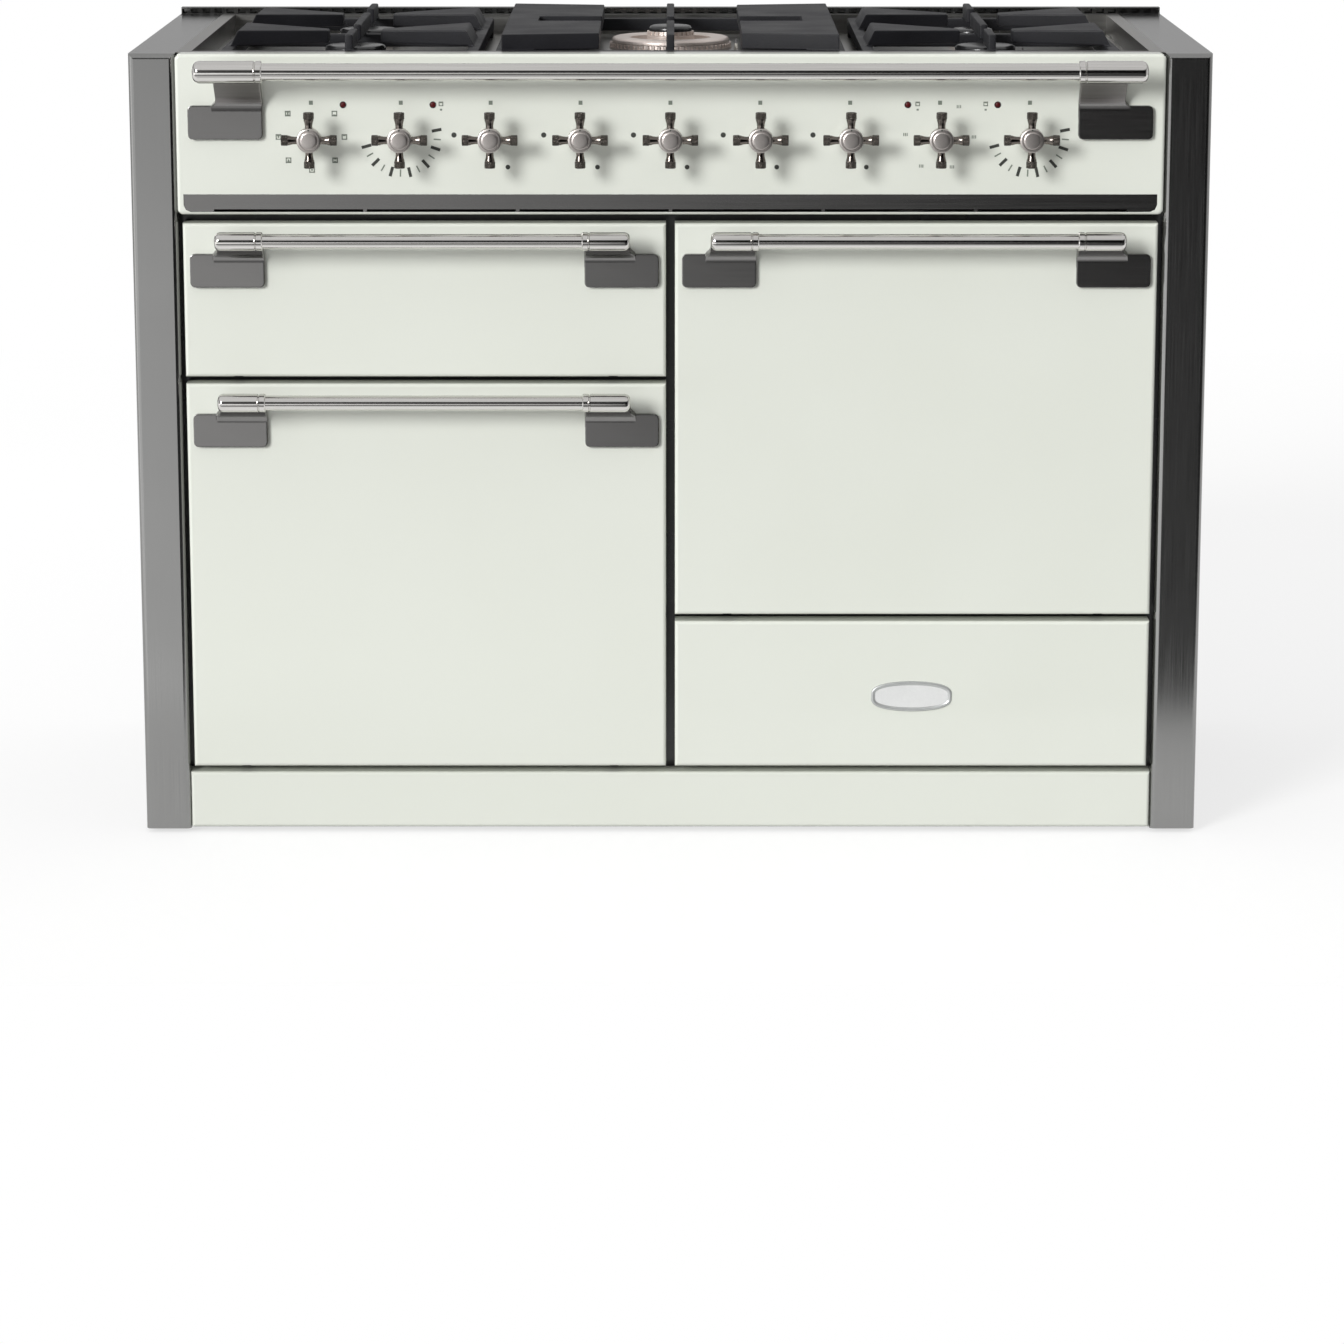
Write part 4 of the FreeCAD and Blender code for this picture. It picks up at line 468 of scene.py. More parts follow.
def grow(name, tree, points, slot, coat=None, body="cabinet", edges=(), stands_for=(), **inputs):
    """Runs a tree on a few points, in millimetres, and keeps what it makes as a plain mesh."""
    coat = coat or slot
    inputs["Material"] = FINISHES[coat]
    seed = bpy.data.meshes.new(name)
    seed.from_pydata([Vector(point) for point in points], list(edges), [])
    thing = bpy.data.objects.new(name, seed)
    scene.collection.objects.link(thing)
    modifier = thing.modifiers.new("grow", "NODES")
    modifier.node_group = tree
    for item in tree.interface.items_tree:
        if item.in_out == "INPUT" and item.name in inputs:
            modifier[item.identifier] = inputs[item.name]
    graph = bpy.context.evaluated_depsgraph_get()
    thing.data = bpy.data.meshes.new_from_object(thing.evaluated_get(graph))
    thing.modifiers.clear()
    thing.data.materials.clear()
    thing.data.transform(Matrix.Scale(MM, 4))
    dress(thing, body, slot, [coat], stands_for)


# %% Tree: bars round an arc, about each given point, in the fascia's plane
MARK_DEEP = 0.3


def dial_marks(start, into):
    bar = bar_of(start, into["Length"], MARK_DEEP, into["Width"])
    spots = start.geo("Points", Count=into["Count"])
    share = start.geo("InputIndex") / into["Count"]
    angle = (into["Start"] + share * into["Sweep"]) * (pi / 180)
    place = start.vector(x=angle.math("COSINE") * into["Radius"], z=angle.math("SINE") * into["Radius"])
    spread = start.geo("SetPosition", Geometry=spots, Position=place)
    ring = copies(spread, bar, Rotation=start.vector(y=angle * -1.0))
    return copies(into["Geometry"], ring)


DIAL = make_tree(dial_marks, Count=8, Radius=38.0, Start=90.0, Sweep=360.0, Length=4.0, Width=1.0)


# %% Tree: a round wire along every edge path, with bent corners
def bent_wire(start, into):
    path = start.geo("MeshToCurve", Mesh=into["Geometry"])
    corner = {"Curve": path, "Radius": into["Bend"], "Count": 6, "Limit Radius": True}
    bent = start.node("GeometryNodeFilletCurve", corner, mode="POLY")
    section = start.geo("CurvePrimitiveCircle", Resolution=into["Sides"], Radius=into["Radius"])
    return start.geo("CurveToMesh", Curve=bent, Profile_Curve=section, Fill_Caps=True)


WIRE = make_tree(bent_wire, Radius=3.0, Bend=8.0, Sides=10)


# %% Tree: a row of bars from every given point
def row_of_bars(start, into):
    bar = bar_of(start, into["Wide"], into["Deep"], into["High"])
    step = start.vector(x=into["Pitch"])
    line = start.geo("MeshLine", Count=into["Count"], Offset=step)
    return copies(into["Geometry"], copies(line, bar))


ROW = make_tree(row_of_bars, Count=10, Pitch=10.0, Wide=4.0, Deep=1.0, High=5.0)


# %% Tree: teeth round a burner crown, about each given point
def crown_teeth(start, into):
    tooth = bar_of(start, into["Long"], into["Wide"], into["High"])
    ring = start.geo("MeshCircle", Vertices=into["Count"], Radius=into["Radius"])
    angle = start.geo("InputIndex") / into["Count"] * tau
    return copies(into["Geometry"], copies(ring, tooth, Rotation=start.vector(z=angle)))


CROWN = make_tree(crown_teeth, Count=30, Radius=36.0, Long=4.0, Wide=3.0, High=4.0)


# %% Tree: a domed screw with a washer at every given point, facing back
DOME_FLATNESS, WASHER_REACH, WASHER_THICK = 0.45, 1.35, 0.8


def screws(start, into):
    ball = start.geo("MeshUVSphere", Segments=16, Rings=8, Radius=into["Radius"])
    head = start.geo("Transform", Geometry=ball, Scale=(1.0, DOME_FLATNESS, 1.0))
    reach = into["Radius"] * WASHER_REACH
    disc = start.geo("MeshCylinder", Vertices=20, Radius=reach, Depth=WASHER_THICK)
    washer = start.geo("Transform", Geometry=disc, Rotation=(pi / 2, 0, 0))
    both = start.geo("JoinGeometry", Geometry=head)
    start.tree.links.new(washer.socket, both.socket.node.inputs["Geometry"])
    return copies(into["Geometry"], both)


SCREW = make_tree(screws, Radius=4.0)


def four(x, z, long, high, y):
    """The corners of an upright rectangle about a middle, given by its half sizes."""
    return [(x + long * i, y, z + high * k) for i in (-1, 1) for k in (-1, 1)]


def screw_row(name, spots, radius, body="cabinet"):
    grow(name, SCREW, spots, "galvanised", "chrome_wire", body, Radius=radius)


# %% [markdown]
# ## Front rail and door handles
# Each bar is a tube between two turned ferrules. The ferrule's outer end is domed so that a hand or
# a towel slides off it, and a fine groove marks off the collar where the tube goes in.

# %% Bars
DOME = ((0.0, 0.0), (0.0, 0.42), (0.05, 0.62), (0.15, 0.79), (0.32, 0.92), (0.58, 1.0))


def bar_profile(half, ferrule_length, ferrule, bar):
    edge = ferrule_length - half
    left = [(-half + along * ferrule, radius * ferrule) for along, radius in DOME]
    left += [(edge - 9.0, ferrule), (edge - 8.3, ferrule - 1.0), (edge - 7.3, ferrule - 1.0)]
    left += [(edge - 6.6, ferrule), (edge - 1.0, ferrule), (edge, ferrule - 0.9), (edge, bar)]
    return left + [(-along, radius) for along, radius in reversed(left)]


FASCIA_Y, DOOR_Y = -271.75, -270.75
FACE_Y = {"rail": FASCIA_Y, "door": DOOR_Y}
BAR_REACH = {"rail": 48, "door": 45}
BAR_SIZES = {"rail": (530, 77, 12.46, 9.75), "door": (232.5, 54, 10.5, 8.5)}
COLUMN = 277.5
HANDLES = {
    "rail": ("rail", 0.0, 883.0, "rail", "cabinet"),
    "broiler": ("door", -COLUMN, 694.0, "broiler_handle", "broiler_door"),
    "left_oven": ("door", -COLUMN, 511.5, "left_oven_handle", "left_oven_door"),
    "right_oven": ("door", COLUMN, 694.0, "right_oven_handle", "right_oven_door"),
}
for name, (kind, middle, height, node, body) in HANDLES.items():
    bm = bmesh.new()
    centre = (middle, FACE_Y[kind] - BAR_REACH[kind], height)
    lathe(bm, centre, (1, 0, 0), bar_profile(*BAR_SIZES[kind]), 48)
    piece(name + "_bar_turned", bm, "bright_steel", body=body, stands_for=[node + "_bar"])

# %% [markdown]
# The brackets are castings: a flat plate with softened corners, and a neck that leaves the plate,
# sweeps forward and cups the ferrule. The neck is a rounded section carried along a smooth spine,
# with a flare where it leaves the plate, as a pattern maker would fillet it.

# %% Brackets
PLATE_LONG, PLATE_HIGH, PLATE_CORNER = 84, 38, 6.5
PLATE_LAYERS = [(0, 0), (4.9, 0), (5.7, 0.35), (6.0, 1.2)]
PLATE_AT = {"rail": (541.0, -41.0), "door": (264.5, -19.0)}  # outer edge, and top below the bar's axis
NECK_EDGES, NECK_CORNER = (84.3, 32), 1.8  # edges: inwards from the plate's outer edge
FLARE, FLARE_HIGH, FLARE_CURVE, BRIGHT_ABOVE = 6.0, 7.0, 2.2, 4.0
NECKS = {
    "rail": ((-3, -54, 5.6), (-3.2, -46, 6), (-5, -38, 7.5), (-11, -29, 9), (-20, -20, 9.5),
             (-30, -11, 9.5), (-40, -4, 9), (-46, 0, 8)),
    "door": ((-3, -34, 5.6), (-3.2, -27, 6), (-5.5, -20, 7.5), (-13, -12.5, 9), (-23, -7, 9),
             (-33, -3, 8.5), (-43, 0, 8)),
}


def neck(bm, spine, x0, x1, panel_y, axis_z, plate_top, flare):
    """Carries a rounded rectangle along the spine, wider at its foot on the side named by flare."""
    rings = []
    rows = smooth_path(spine, 4)
    for index, (y, z, thick) in enumerate(rows):
        ahead = rows[min(index + 1, len(rows) - 1)]
        behind = rows[max(index - 1, 0)]
        run = Vector((ahead[0] - behind[0], ahead[1] - behind[1])).normalized()
        normal = Vector((-run.y, run.x))
        rise = max(0.0, 1.0 - max(0.0, z - plate_top) / FLARE_HIGH)
        out = FLARE * rise ** FLARE_CURVE
        a, b = (x0 - out, x1) if flare < 0 else (x0, x1 + out)
        section = rectangle((a, b), (-thick / 2, thick / 2), NECK_CORNER, 3)
        ring = []
        for across, through in section:
            spot = Vector((y, z)) + normal * through
            ring.append(bm.verts.new((across, panel_y + spot.x, axis_z + spot.y)))
        rings.append(ring)
    for face in skin(bm, rings, capped=True):
        # Faces of the neck above the plate take the lighter finish, a painted sheen; plate and neck are one
        # steel.
        bright = face.calc_center_median().z - axis_z > plate_top + BRIGHT_ABOVE
        face.material_index = 1 if bright else 0


for name, (kind, middle, height, node, body) in HANDLES.items():
    outer, top = PLATE_AT[kind]
    on_face = upright(FACE_Y[kind], -1, middle, height)
    bm = bmesh.new()
    for side in (-1, 1):
        edges = sorted((side * outer, side * (outer - PLATE_LONG)))
        plate(bm, edges, (top - PLATE_HIGH, top), PLATE_CORNER, on_face, PLATE_LAYERS)
        x0, x1 = sorted(middle + side * (outer - edge) for edge in NECK_EDGES)
        neck(bm, NECKS[kind], x0, x1, FACE_Y[kind], height, top, side)
    piece(name + "_brackets_cast", bm, "bracket_steel", "bracket_steel", "neck_steel", body=body,
          stands_for=[node + "_brackets"])

# %% [markdown]
# ## Knobs
# A cross-head knob is turned in five parts: a hub with a grooved ring and a raised disc, and four
# flared arms, each ending in a knurled barrel. A black dot on the ring shows the setting. All nine
# are copies of one drawing, so a change to the drawing changes them all.


# %% Knurling and the dial's ink
def knurl_paint(place):
    around, along, _ = place.node("ShaderNodeUVMap", uv_map="knurl").split()
    left = ((around * 26 + along * 5) * tau).math("SINE")
    right = ((around * 26 - along * 5) * tau).math("SINE")
    ridge = left.math("MINIMUM", right)
    # The ridges are the real knurl and drive the bump; the dark colour, darker still in the valleys, is
    # painted shade.
    return {
        "Base_Color": ridge.ramp(-0.8, 0.6).mix(shade(62, 58, 55), shade(118, 112, 106)),
        "Roughness": ridge.ramp(-1.0, 1.0, 0.28, 0.18),
        "Normal": ridge.bump(0.6, 0.0004),
    }


def inked(name, dark, light):
    def paint(place):
        grain = place.noise(1500.0, 2.0)
        return {
            "Base_Color": grain.mix(shade(*dark), shade(*light)),
            "Roughness": grain.ramp(0.3, 0.7, 0.5, 0.65),
        }
    finish(name, paint)


# The barrels' steel is painted darker than the hub's: painted shade.
finish("knurled_steel", knurl_paint, Metallic=1.0)
inked("ink", (40, 42, 38), (62, 64, 58))
inked("pale_ink", (104, 112, 102), (128, 136, 124))

# %% One knob, then nine
KNOB_Z, PITCH, ARM_OUT, KNURL_LONG, DOT_OUT, DOT_UP = 806.5, 100.7, 38, 7.5, 44.35, 11.6
KNOBS = ("function", "left_oven", *(f"burner_{number}" for number in range(1, 6)), "broiler", "right_oven")
HUB = ((-12, 0), (-12, 4), (6, 4), (6, 6.4), (7, 7), (24, 7.6), (28, 9.2), (30.2, 11.2), (31, 12.8),
       (32.4, 13.75), (42.6, 13.75), (43.8, 13.3), (44.4, 12.4), (44.4, 10.8), (43.7, 10.5), (43.7, 9.9),
       (45.2, 9.5), (45.7, 8.8), (45.9, 7.6), (46, 4), (46, 0))
ARM = ((8, 0), (8, 4.4), (13, 4.2), (15.5, 4.15), (18, 4.4), (20.5, 4.95), (22.4, 5.6), (22.9, 5.6),
       (23.0, 5.2), (23.4, 5.2), (23.5, 5.7))
BARREL = ((23.5, 5.7), (23.9, 6.0), (25.5, 6.0), (27.2, 6.0), (28.9, 6.0), (30.4, 6.0), (31, 5.5),
          (31, 4.4), (30.7, 4.0), (30.7, 0))
DOT = ((0, 0), (0, 0.9), (0.12, 0.9), (0.16, 0))


def knob_x(number):
    return PITCH * (number - 4)


def draw_knob(x):
    bm = bmesh.new()
    layer = bm.loops.layers.uv.new("knurl")
    lathe(bm, (x, FASCIA_Y, KNOB_Z), FRONT, HUB, 48)
    centre = Vector((x, FASCIA_Y - ARM_OUT, KNOB_Z))
    for angle in (0, pi / 2, pi, 3 * pi / 2):
        way = Vector((cos(angle), 0, sin(angle)))
        across = way.orthogonal().normalized()
        other = way.cross(across)
        lathe(bm, centre, way, ARM, 28, paint=1)
        for side in lathe(bm, centre, way, BARREL, 28, paint=2):
            for loop in side.loops:
                arm = loop.vert.co - centre
                about = atan2(arm.dot(other), arm.dot(across)) / tau
                if about < -0.49:  # the seam counts as a full turn
                    about += 1.0
                loop[layer].uv = (about, arm.dot(way) / KNURL_LONG)
    lathe(bm, (x, FASCIA_Y - DOT_OUT, KNOB_Z + DOT_UP), FRONT, DOT, 16, paint=3)
    return bm


for number, name in enumerate(KNOBS):
    # Arms and knurled barrels are painted darker than the hub: painted shade.
    piece(name + "_knob_turned", draw_knob(knob_x(number)), "bright_steel", "knob_steel", "arm_steel",
          "knurled_steel", "ink", body=name + "_control", stands_for=[name + "_knob"])

# %% [markdown]
# ## Dial marks and pilot lights
# The marks are fired into the enamel. They are drawn as very thin inlays just proud of the fascia:
# dots for gas, a fan of strokes for the oven temperatures, and small pictograms for the functions.
# Strokes round a dial are one rule, so the dial tree makes them; each pictogram is a few small bars.

# %% Strokes
MARK_Y = FASCIA_Y - 0.05


def dial_at(*numbers):
    return [(knob_x(number), MARK_Y, KNOB_Z) for number in numbers]


def marks(name, where, coat, **rule):
    grow(name, DIAL, where, "black_enamel", coat, **rule)


HEAT = dial_at(1, 8)
marks("top_ticks", dial_at(*range(9)), "pale_ink", Count=1, Radius=38.3, Start=90.0, Length=4.6, Width=4.4)
marks("heat_strokes", HEAT, "ink", Count=7, Radius=40.5, Start=195.0, Sweep=205.0, Length=11.0, Width=3.4)
marks("heat_fine", HEAT, "pale_ink", Count=6, Radius=40.5, Start=209.6, Sweep=175.7, Length=8.0, Width=1.5)

# %% Pictograms
FRAME_AT, FRAME_WIDE = 0.41, 0.18  # shares of the pictogram's size


def inlay(bm, x, z, wide, high):
    low = (x - wide / 2, MARK_Y - 0.12, z - high / 2)
    block(bm, low, (x + wide / 2, FASCIA_Y + 0.2, z + high / 2))


def pictogram(bm, x, z, size, bars):
    """A square frame with a few bars in it, given as (x, z, width, height) shares of its size."""
    for edge in (-FRAME_AT * size, FRAME_AT * size):
        inlay(bm, x + edge, z, FRAME_WIDE * size, size)
        inlay(bm, x, z + edge, size, FRAME_WIDE * size)
    for across, up, wide, high in bars:
        inlay(bm, x + across * size, z + up * size, wide * size, high * size)


def round_knob(number, angle, reach):
    """The x and z of a spot round a knob, at an angle in degrees."""
    turn = radians(angle)
    return knob_x(number) + reach * cos(turn), KNOB_Z + reach * sin(turn)


TOP, FOOT, MIDDLE = (0, 0.24, 0.5, 0.15), (0, -0.24, 0.5, 0.15), (0, 0, 0.3, 0.3)
FUNCTIONS = ((FOOT,), (TOP,), (TOP, FOOT), (MIDDLE,), (MIDDLE, FOOT), (MIDDLE, TOP), (MIDDLE, TOP, FOOT))
bm = bmesh.new()
for number, bars in enumerate(FUNCTIONS, start=1):
    pictogram(bm, *round_knob(0, 90 - 45 * number, 37), 6.2, bars)
for number, shift in ((1, 45.0), (7, -25.0), (8, -49.5)):
    pictogram(bm, knob_x(number) + shift, KNOB_Z + 37, 5.0, (TOP,))
    inlay(bm, knob_x(number) + shift, KNOB_Z + 30.5, 2.4, 2.0)
for angle, reach in ((58.0, 40.0), (176.0, 38.5), (238.0, 38.5), (293.0, 36.5), (0.0, 38.5)):
    x, z = round_knob(7, angle, reach)
    for step in (-1, 0, 1):
        inlay(bm, x + step * 1.9, z, 1.0, 3.6)
piece("pictograms", bm, "black_enamel", "pale_ink")

# %% Gas dots
bm = bmesh.new()
for number in range(2, 7):
    for angle, reach, radius in ((177.0, 41.5, 3.0), (299.0, 38.7, 2.7)):
        x, z = round_knob(number, angle, reach)
        shape = ((0, 0), (0, radius), (0.25, radius * 0.97), (0.28, 0))
        lathe(bm, (x, FASCIA_Y + 0.1, z), FRONT, shape, 18)
piece("gas_dots", bm, "black_enamel", "ink")

# %% Pilot lights
PILOT_OFF = 36
LENS = ((-3, 0), (-3, 3.0), (0.1, 3.0), (0.6, 2.6), (0.95, 1.7), (1.1, 0.8), (1.15, 0))
BEZEL = ((-1, 3.05), (-1, 3.9), (0.3, 3.9), (0.55, 3.6), (0.45, 3.15), (-0.2, 3.05))
bm = bmesh.new()
for number, side in ((0, 1), (1, 1), (7, -1), (8, -1)):
    spot = (knob_x(number) + PILOT_OFF * side, FASCIA_Y, KNOB_Z + PILOT_OFF)
    lathe(bm, spot, FRONT, LENS, 24)
    lathe(bm, spot, FRONT, BEZEL, 24, paint=1)
piece("pilot_lights", bm, "red_lens", "red_lens", "bracket_steel", stands_for=["indicator_lenses"])

# %% [markdown]
# ## Plaque
# A blank plaque with a raised rim sits on the drawer front. Its outline is a cushion: long bowed
# edges above and below, short rounder ends. One formula draws that, a superellipse, which is an
# ellipse with other powers than two. Each layer of the stamping is the outline, drawn in a little.

# %% Plaque
HALF_LONG, HALF_HIGH, PLAQUE_Z, BOW, RIM = 46.5, 17.8, 163, 3.3, 4.7
PLAQUE_LAYERS = [(0, 0), (0.9, 0.1), (1.5, 0.6), (1.85, 1.4), (1.9, 2.3), (1.7, 3.2), (1.2, 4.0),
                 (0.9, RIM), (1.0, RIM + 1)]


def plaque_outline(count=84):
    """Points anticlockwise on the curve (x / long) ** 2 + (z / high) ** BOW = 1."""
    turns = [tau * index / count for index in range(count)]
    heights = [copysign(abs(sin(turn)) ** (2 / BOW), sin(turn)) * HALF_HIGH for turn in turns]
    return [(cos(turn) * HALF_LONG, height) for turn, height in zip(turns, heights)]


bm = bmesh.new()
pressed(bm, plaque_outline(), upright(DOOR_Y, -1, COLUMN, PLAQUE_Z), PLAQUE_LAYERS)
for face in bm.faces:
    spot = face.calc_center_median()
    across = abs(spot.x - COLUMN) / (HALF_LONG - RIM)
    up = abs(spot.z - PLAQUE_Z) / (HALF_HIGH - RIM)
    if across ** 2 + up ** BOW < 1 and spot.y < DOOR_Y - 0.5:
        face.material_index = 1
piece("plaque", bm, "bright_steel", "plaque_rim", "plaque_satin", body="drawer")

# %% [markdown]
# ## Hob
# Five burners stand in the spill tray: a cast crown with a ring of flame ports, and an enamelled
# lid that spreads the flame. The middle one has an outer ring for a wok and a small burner inside it.

# %% Burners
SIDE_X, FRONT_Y, REAR_Y, TRAY_Z, CROWN_HIGH, TEETH_UP = 363.5, -95.75, 144.25, 875.5, 13, 10.8
LID_Z = TRAY_Z + CROWN_HIGH
WOK = (0, 24.25)
BURNERS = ((-SIDE_X, FRONT_Y, 38), (-SIDE_X, REAR_Y, 38), (*WOK, 72), (SIDE_X, FRONT_Y, 38),
           (SIDE_X, REAR_Y, 28))
WOK_HEART = ((0, 0), (0, 26), (3, 28), (8, 28), (9, 26), (13, 25.6), (13, 0))
bm = bmesh.new()
for x, y, radius in BURNERS:
    foot = ((0, 0), (0, radius - 5), (2, radius - 3), (4, radius - 3), (5.5, radius), (8.5, radius),
            (9, radius - 2), (CROWN_HIGH, radius - 2.4), (CROWN_HIGH, 0))
    lathe(bm, (x, y, TRAY_Z), UP, foot, 64)
lathe(bm, (*WOK, LID_Z), UP, WOK_HEART, 48)
piece("burner_crowns_cast", bm, "aluminium", stands_for=["burner_heads"])
for label, radius, count in (("large", 38, 34), ("small", 28, 26), ("wok", 72, 64)):
    spots = [(x, y, TRAY_Z + TEETH_UP) for x, y, size in BURNERS if size == radius]
    if label == "small":
        spots.append((*WOK, LID_Z + TEETH_UP))
    grow(label + "_flame_teeth", CROWN, spots, "aluminium", Count=count,
         Radius=radius - 2.6, Long=4.6, Wide=tau * radius / count * 0.5, High=4.4)


# %% Burner lids
def lid(bm, spot, radius, hole=0, paint=0):
    shape = [(0, hole), (0, radius - 1), (0.6, radius), (3.6, radius), (5.6, radius - 1.4), (6.6, radius - 4)]
    middle = [(6.6, hole + 3), (5, hole), (0, hole)] if hole else [(7, radius * 0.5), (7, 0)]
    lathe(bm, spot, UP, shape + middle, 64, paint)


bm = bmesh.new()
for x, y, radius in BURNERS:
    if (x, y) != WOK:
        lid(bm, (x, y, LID_Z), radius - 3)
lid(bm, (*WOK, LID_Z + CROWN_HIGH), 25)
lid(bm, (*WOK, LID_Z), 69, hole=48, paint=1)
piece("burner_lids", bm, "black_enamel", "black_enamel", "aluminium", stands_for=["burner_caps"])

# %% [markdown]
# ## Rear vent
# The upstand at the back is folded from one sheet. Its front has a long row of small windows, so
# the piece is drawn as two rails with a row of posts between them.

# %% Rear vent
SHEET = 1.2
(x0, y0, z0), (x1, y1, z1) = ([v / MM for v in corner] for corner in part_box("rear_vent"))
bm = bmesh.new()
block(bm, (x0, y0, z0), (x1, y0 + SHEET, z1 - 7.4), 0.2)
block(bm, (x0, y0, z1 - 1.9), (x1, y0 + SHEET, z1), 0.4)
block(bm, (x0, y0 + 1.0, z1 - SHEET), (x1, y1, z1), 0.4)
block(bm, (x0, y1 - SHEET, z0), (x1, y1, z1 - 0.4), 0.2)
for end in (x0, x1 - SHEET):
    block(bm, (end, y0 + 0.6, z0), (end + SHEET, y1 - 0.6, z1 - 0.6), 0.2)
piece("rear_vent_folded", bm, "side_steel", stands_for=["rear_vent"])
grow("rear_vent_posts", ROW, [(x0 + 9.35, y0 + 0.6, z1 - 4.4)], "side_steel",
     Count=83, Pitch=14.6, Wide=5.0, Deep=1.0, High=5.2)

# %% [markdown]
# ## Castings and pressings with soft edges
# A cast or pressed edge is never a knife edge: it shows as a thin bright line. These pieces keep
# their CAD shape, apart from a slant at the ends of the side pan supports. A copy of the CAD mesh is
# welded, its flat triangles are joined, and every sharp edge is rounded a little. Thin sheet takes a
# small radius and a casting a large one.


# %% Softened pieces
def softened(node, slot, radius, draft=None):
    """A CAD piece with rounded edges; `draft` may slant it first, moving each of its points."""
    bm = bmesh.new()
    bm.from_mesh(frame["nodes"][node].data)
    bmesh.ops.scale(bm, vec=(1 / MM,) * 3, verts=bm.verts)
    bmesh.ops.remove_doubles(bm, verts=bm.verts, dist=0.01)
    bmesh.ops.dissolve_limit(bm, angle_limit=radians(1), verts=bm.verts, edges=bm.edges)
    for vert in bm.verts if draft else ():
        draft(vert.co)
    sharp = [edge for edge in bm.edges if edge.is_manifold and edge.calc_face_angle() > radians(30)]
    bmesh.ops.bevel(
        bm, geom=sharp, offset=radius, segments=2, profile=0.5, affect="EDGES", clamp_overlap=True)
    piece(node + "_softened", bm, slot, stands_for=[node])


WING_TOP, WING_END, WING_SLANT, TIP_NEAR, TIP_FAR, TIP_DROP = 915, 120, 9.0, 25, 35, 3.5


def wing_draft(co):
    """Slants the outer ends of the wings and lowers their tips, so that a pan slides on easily."""
    outwards = copysign(1.0, co.x) if abs(co.x) > SIDE_X else -copysign(1.0, co.x)
    away = abs(abs(co.x) - SIDE_X)
    if co.z > WING_TOP and away > WING_END:
        co.x -= WING_SLANT * outwards
    elif co.z > WING_TOP and TIP_NEAR < away < TIP_FAR:
        co.z -= TIP_DROP


softened("left_pan_support", "cast_iron", 2.0, wing_draft)
softened("right_pan_support", "cast_iron", 2.0, wing_draft)
softened("centre_pan_support", "cast_iron", 2.0)
softened("door_seals", "seal_rubber", 1.6)
softened("broiler_pan", "black_enamel", 0.5)

# %% [markdown]
# ## Shelves and heating elements
# Oven shelves and heating elements are all bent wire: a path, a radius and a bend. The wire tree
# takes the paths as edges, so a shelf is a closed loop, a row of straight wires and two cross rods.


# %% Wire paths
def paths(lines):
    """Points and edges of several lines; a line that ends where it starts is closed."""
    points, edges = [], []
    for line in lines:
        closed = line[0] == line[-1]
        spots = line[:-1] if closed else line
        first = len(points)
        points += spots
        edges += [(first + step, first + step + 1) for step in range(len(spots) - 1)]
        if closed:
            edges.append((first + len(spots) - 1, first))
    return points, edges


def wires(name, lines, slot, radius, bend=0.0, sides=10, stands_for=()):
    points, edges = paths(lines)
    grow(name, WIRE, points, slot, edges=edges, stands_for=stands_for,
         Radius=radius, Bend=bend, Sides=sides)


def loop(x0, x1, y0, y1, z):
    return [(x0, y0, z), (x1, y0, z), (x1, y1, z), (x0, y1, z), (x0, y0, z)]


# %% Shelves, pan grid and shelf guides
OVENS = {"left_oven": (-COLUMN, 118.0, 498.5), "right_oven": (COLUMN, 297.0, 681.0)}  # middle, floor, roof
MOUTH, GUIDES = 227.5, (62, 144, 226, 308)
SHELF_HALF, SHELF_FRONT, SHELF_REAR, SHELF_PITCH = 220.4, -196.6, 97.1, 31.5
GRID_HALF, GRID_FRONT, GRID_REAR, GRID_PITCH, GRID_Z = 186, -168.0, 92.0, 24, 605.0


def rods_about(middle, pitch, count, front, rear, z):
    """Straight wires from front to rear, with `count` of them on each side of the middle one."""
    places = [middle + pitch * step for step in range(-count, count + 1)]
    return [[(x, front, z), (x, rear, z)] for x in places]


rims, rods, bars = [], [], []
for middle, floor_z, roof_z in OVENS.values():
    for z in (floor_z + GUIDES[0], floor_z + GUIDES[2]):
        rims.append(loop(middle - SHELF_HALF, middle + SHELF_HALF, SHELF_FRONT, SHELF_REAR, z + 3))
        bars += [[(middle - 220, y, z + 2.6), (middle + 220, y, z + 2.6)] for y in (-110.0, 0.0)]
        rods += rods_about(middle, SHELF_PITCH, 6, SHELF_FRONT, SHELF_REAR, z + 4.1)
wires("shelf_rims", rims, "chrome_wire", 3.0, bend=14.0, stands_for=["oven_racks"])
wires("shelf_cross_rods", bars, "chrome_wire", 2.5)
wires("shelf_wires", rods, "chrome_wire", 1.9)
rim = loop(-COLUMN - GRID_HALF, -COLUMN + GRID_HALF, GRID_FRONT, GRID_REAR, GRID_Z)
wires("pan_grid_rim", [rim], "chrome_wire", 2.4, bend=12.0)
rods = rods_about(-COLUMN, GRID_PITCH, 7, GRID_FRONT, GRID_REAR, GRID_Z + 2.6)
wires("pan_grid_wires", rods, "chrome_wire", 1.6)


def ledges(bm, middle, reach, y, z):
    """A strip on both side walls of a cavity; `y` and `z` are its (low, high) edges."""
    for sign in (-1, 1):
        x0, x1 = sorted((middle + sign * MOUTH, middle + sign * (MOUTH - reach)))
        block(bm, (x0, y[0], z[0]), (x1, y[1], z[1]), 0.4)


GUIDE_Y, PAN_GUIDE_Y = (-199.75, 145.25), (-189.75, 170.25)
bm = bmesh.new()
for middle, floor_z, roof_z in OVENS.values():
    ledges(bm, middle, SHEET, GUIDE_Y, (floor_z + 11, floor_z + 319))
    for rise in GUIDES:
        ledges(bm, middle, 11.0, GUIDE_Y, (floor_z + rise - SHEET, floor_z + rise))
ledges(bm, -COLUMN, 17.0, PAN_GUIDE_Y, (610.1, 611.3))
piece("shelf_guides", bm, "chrome_wire")

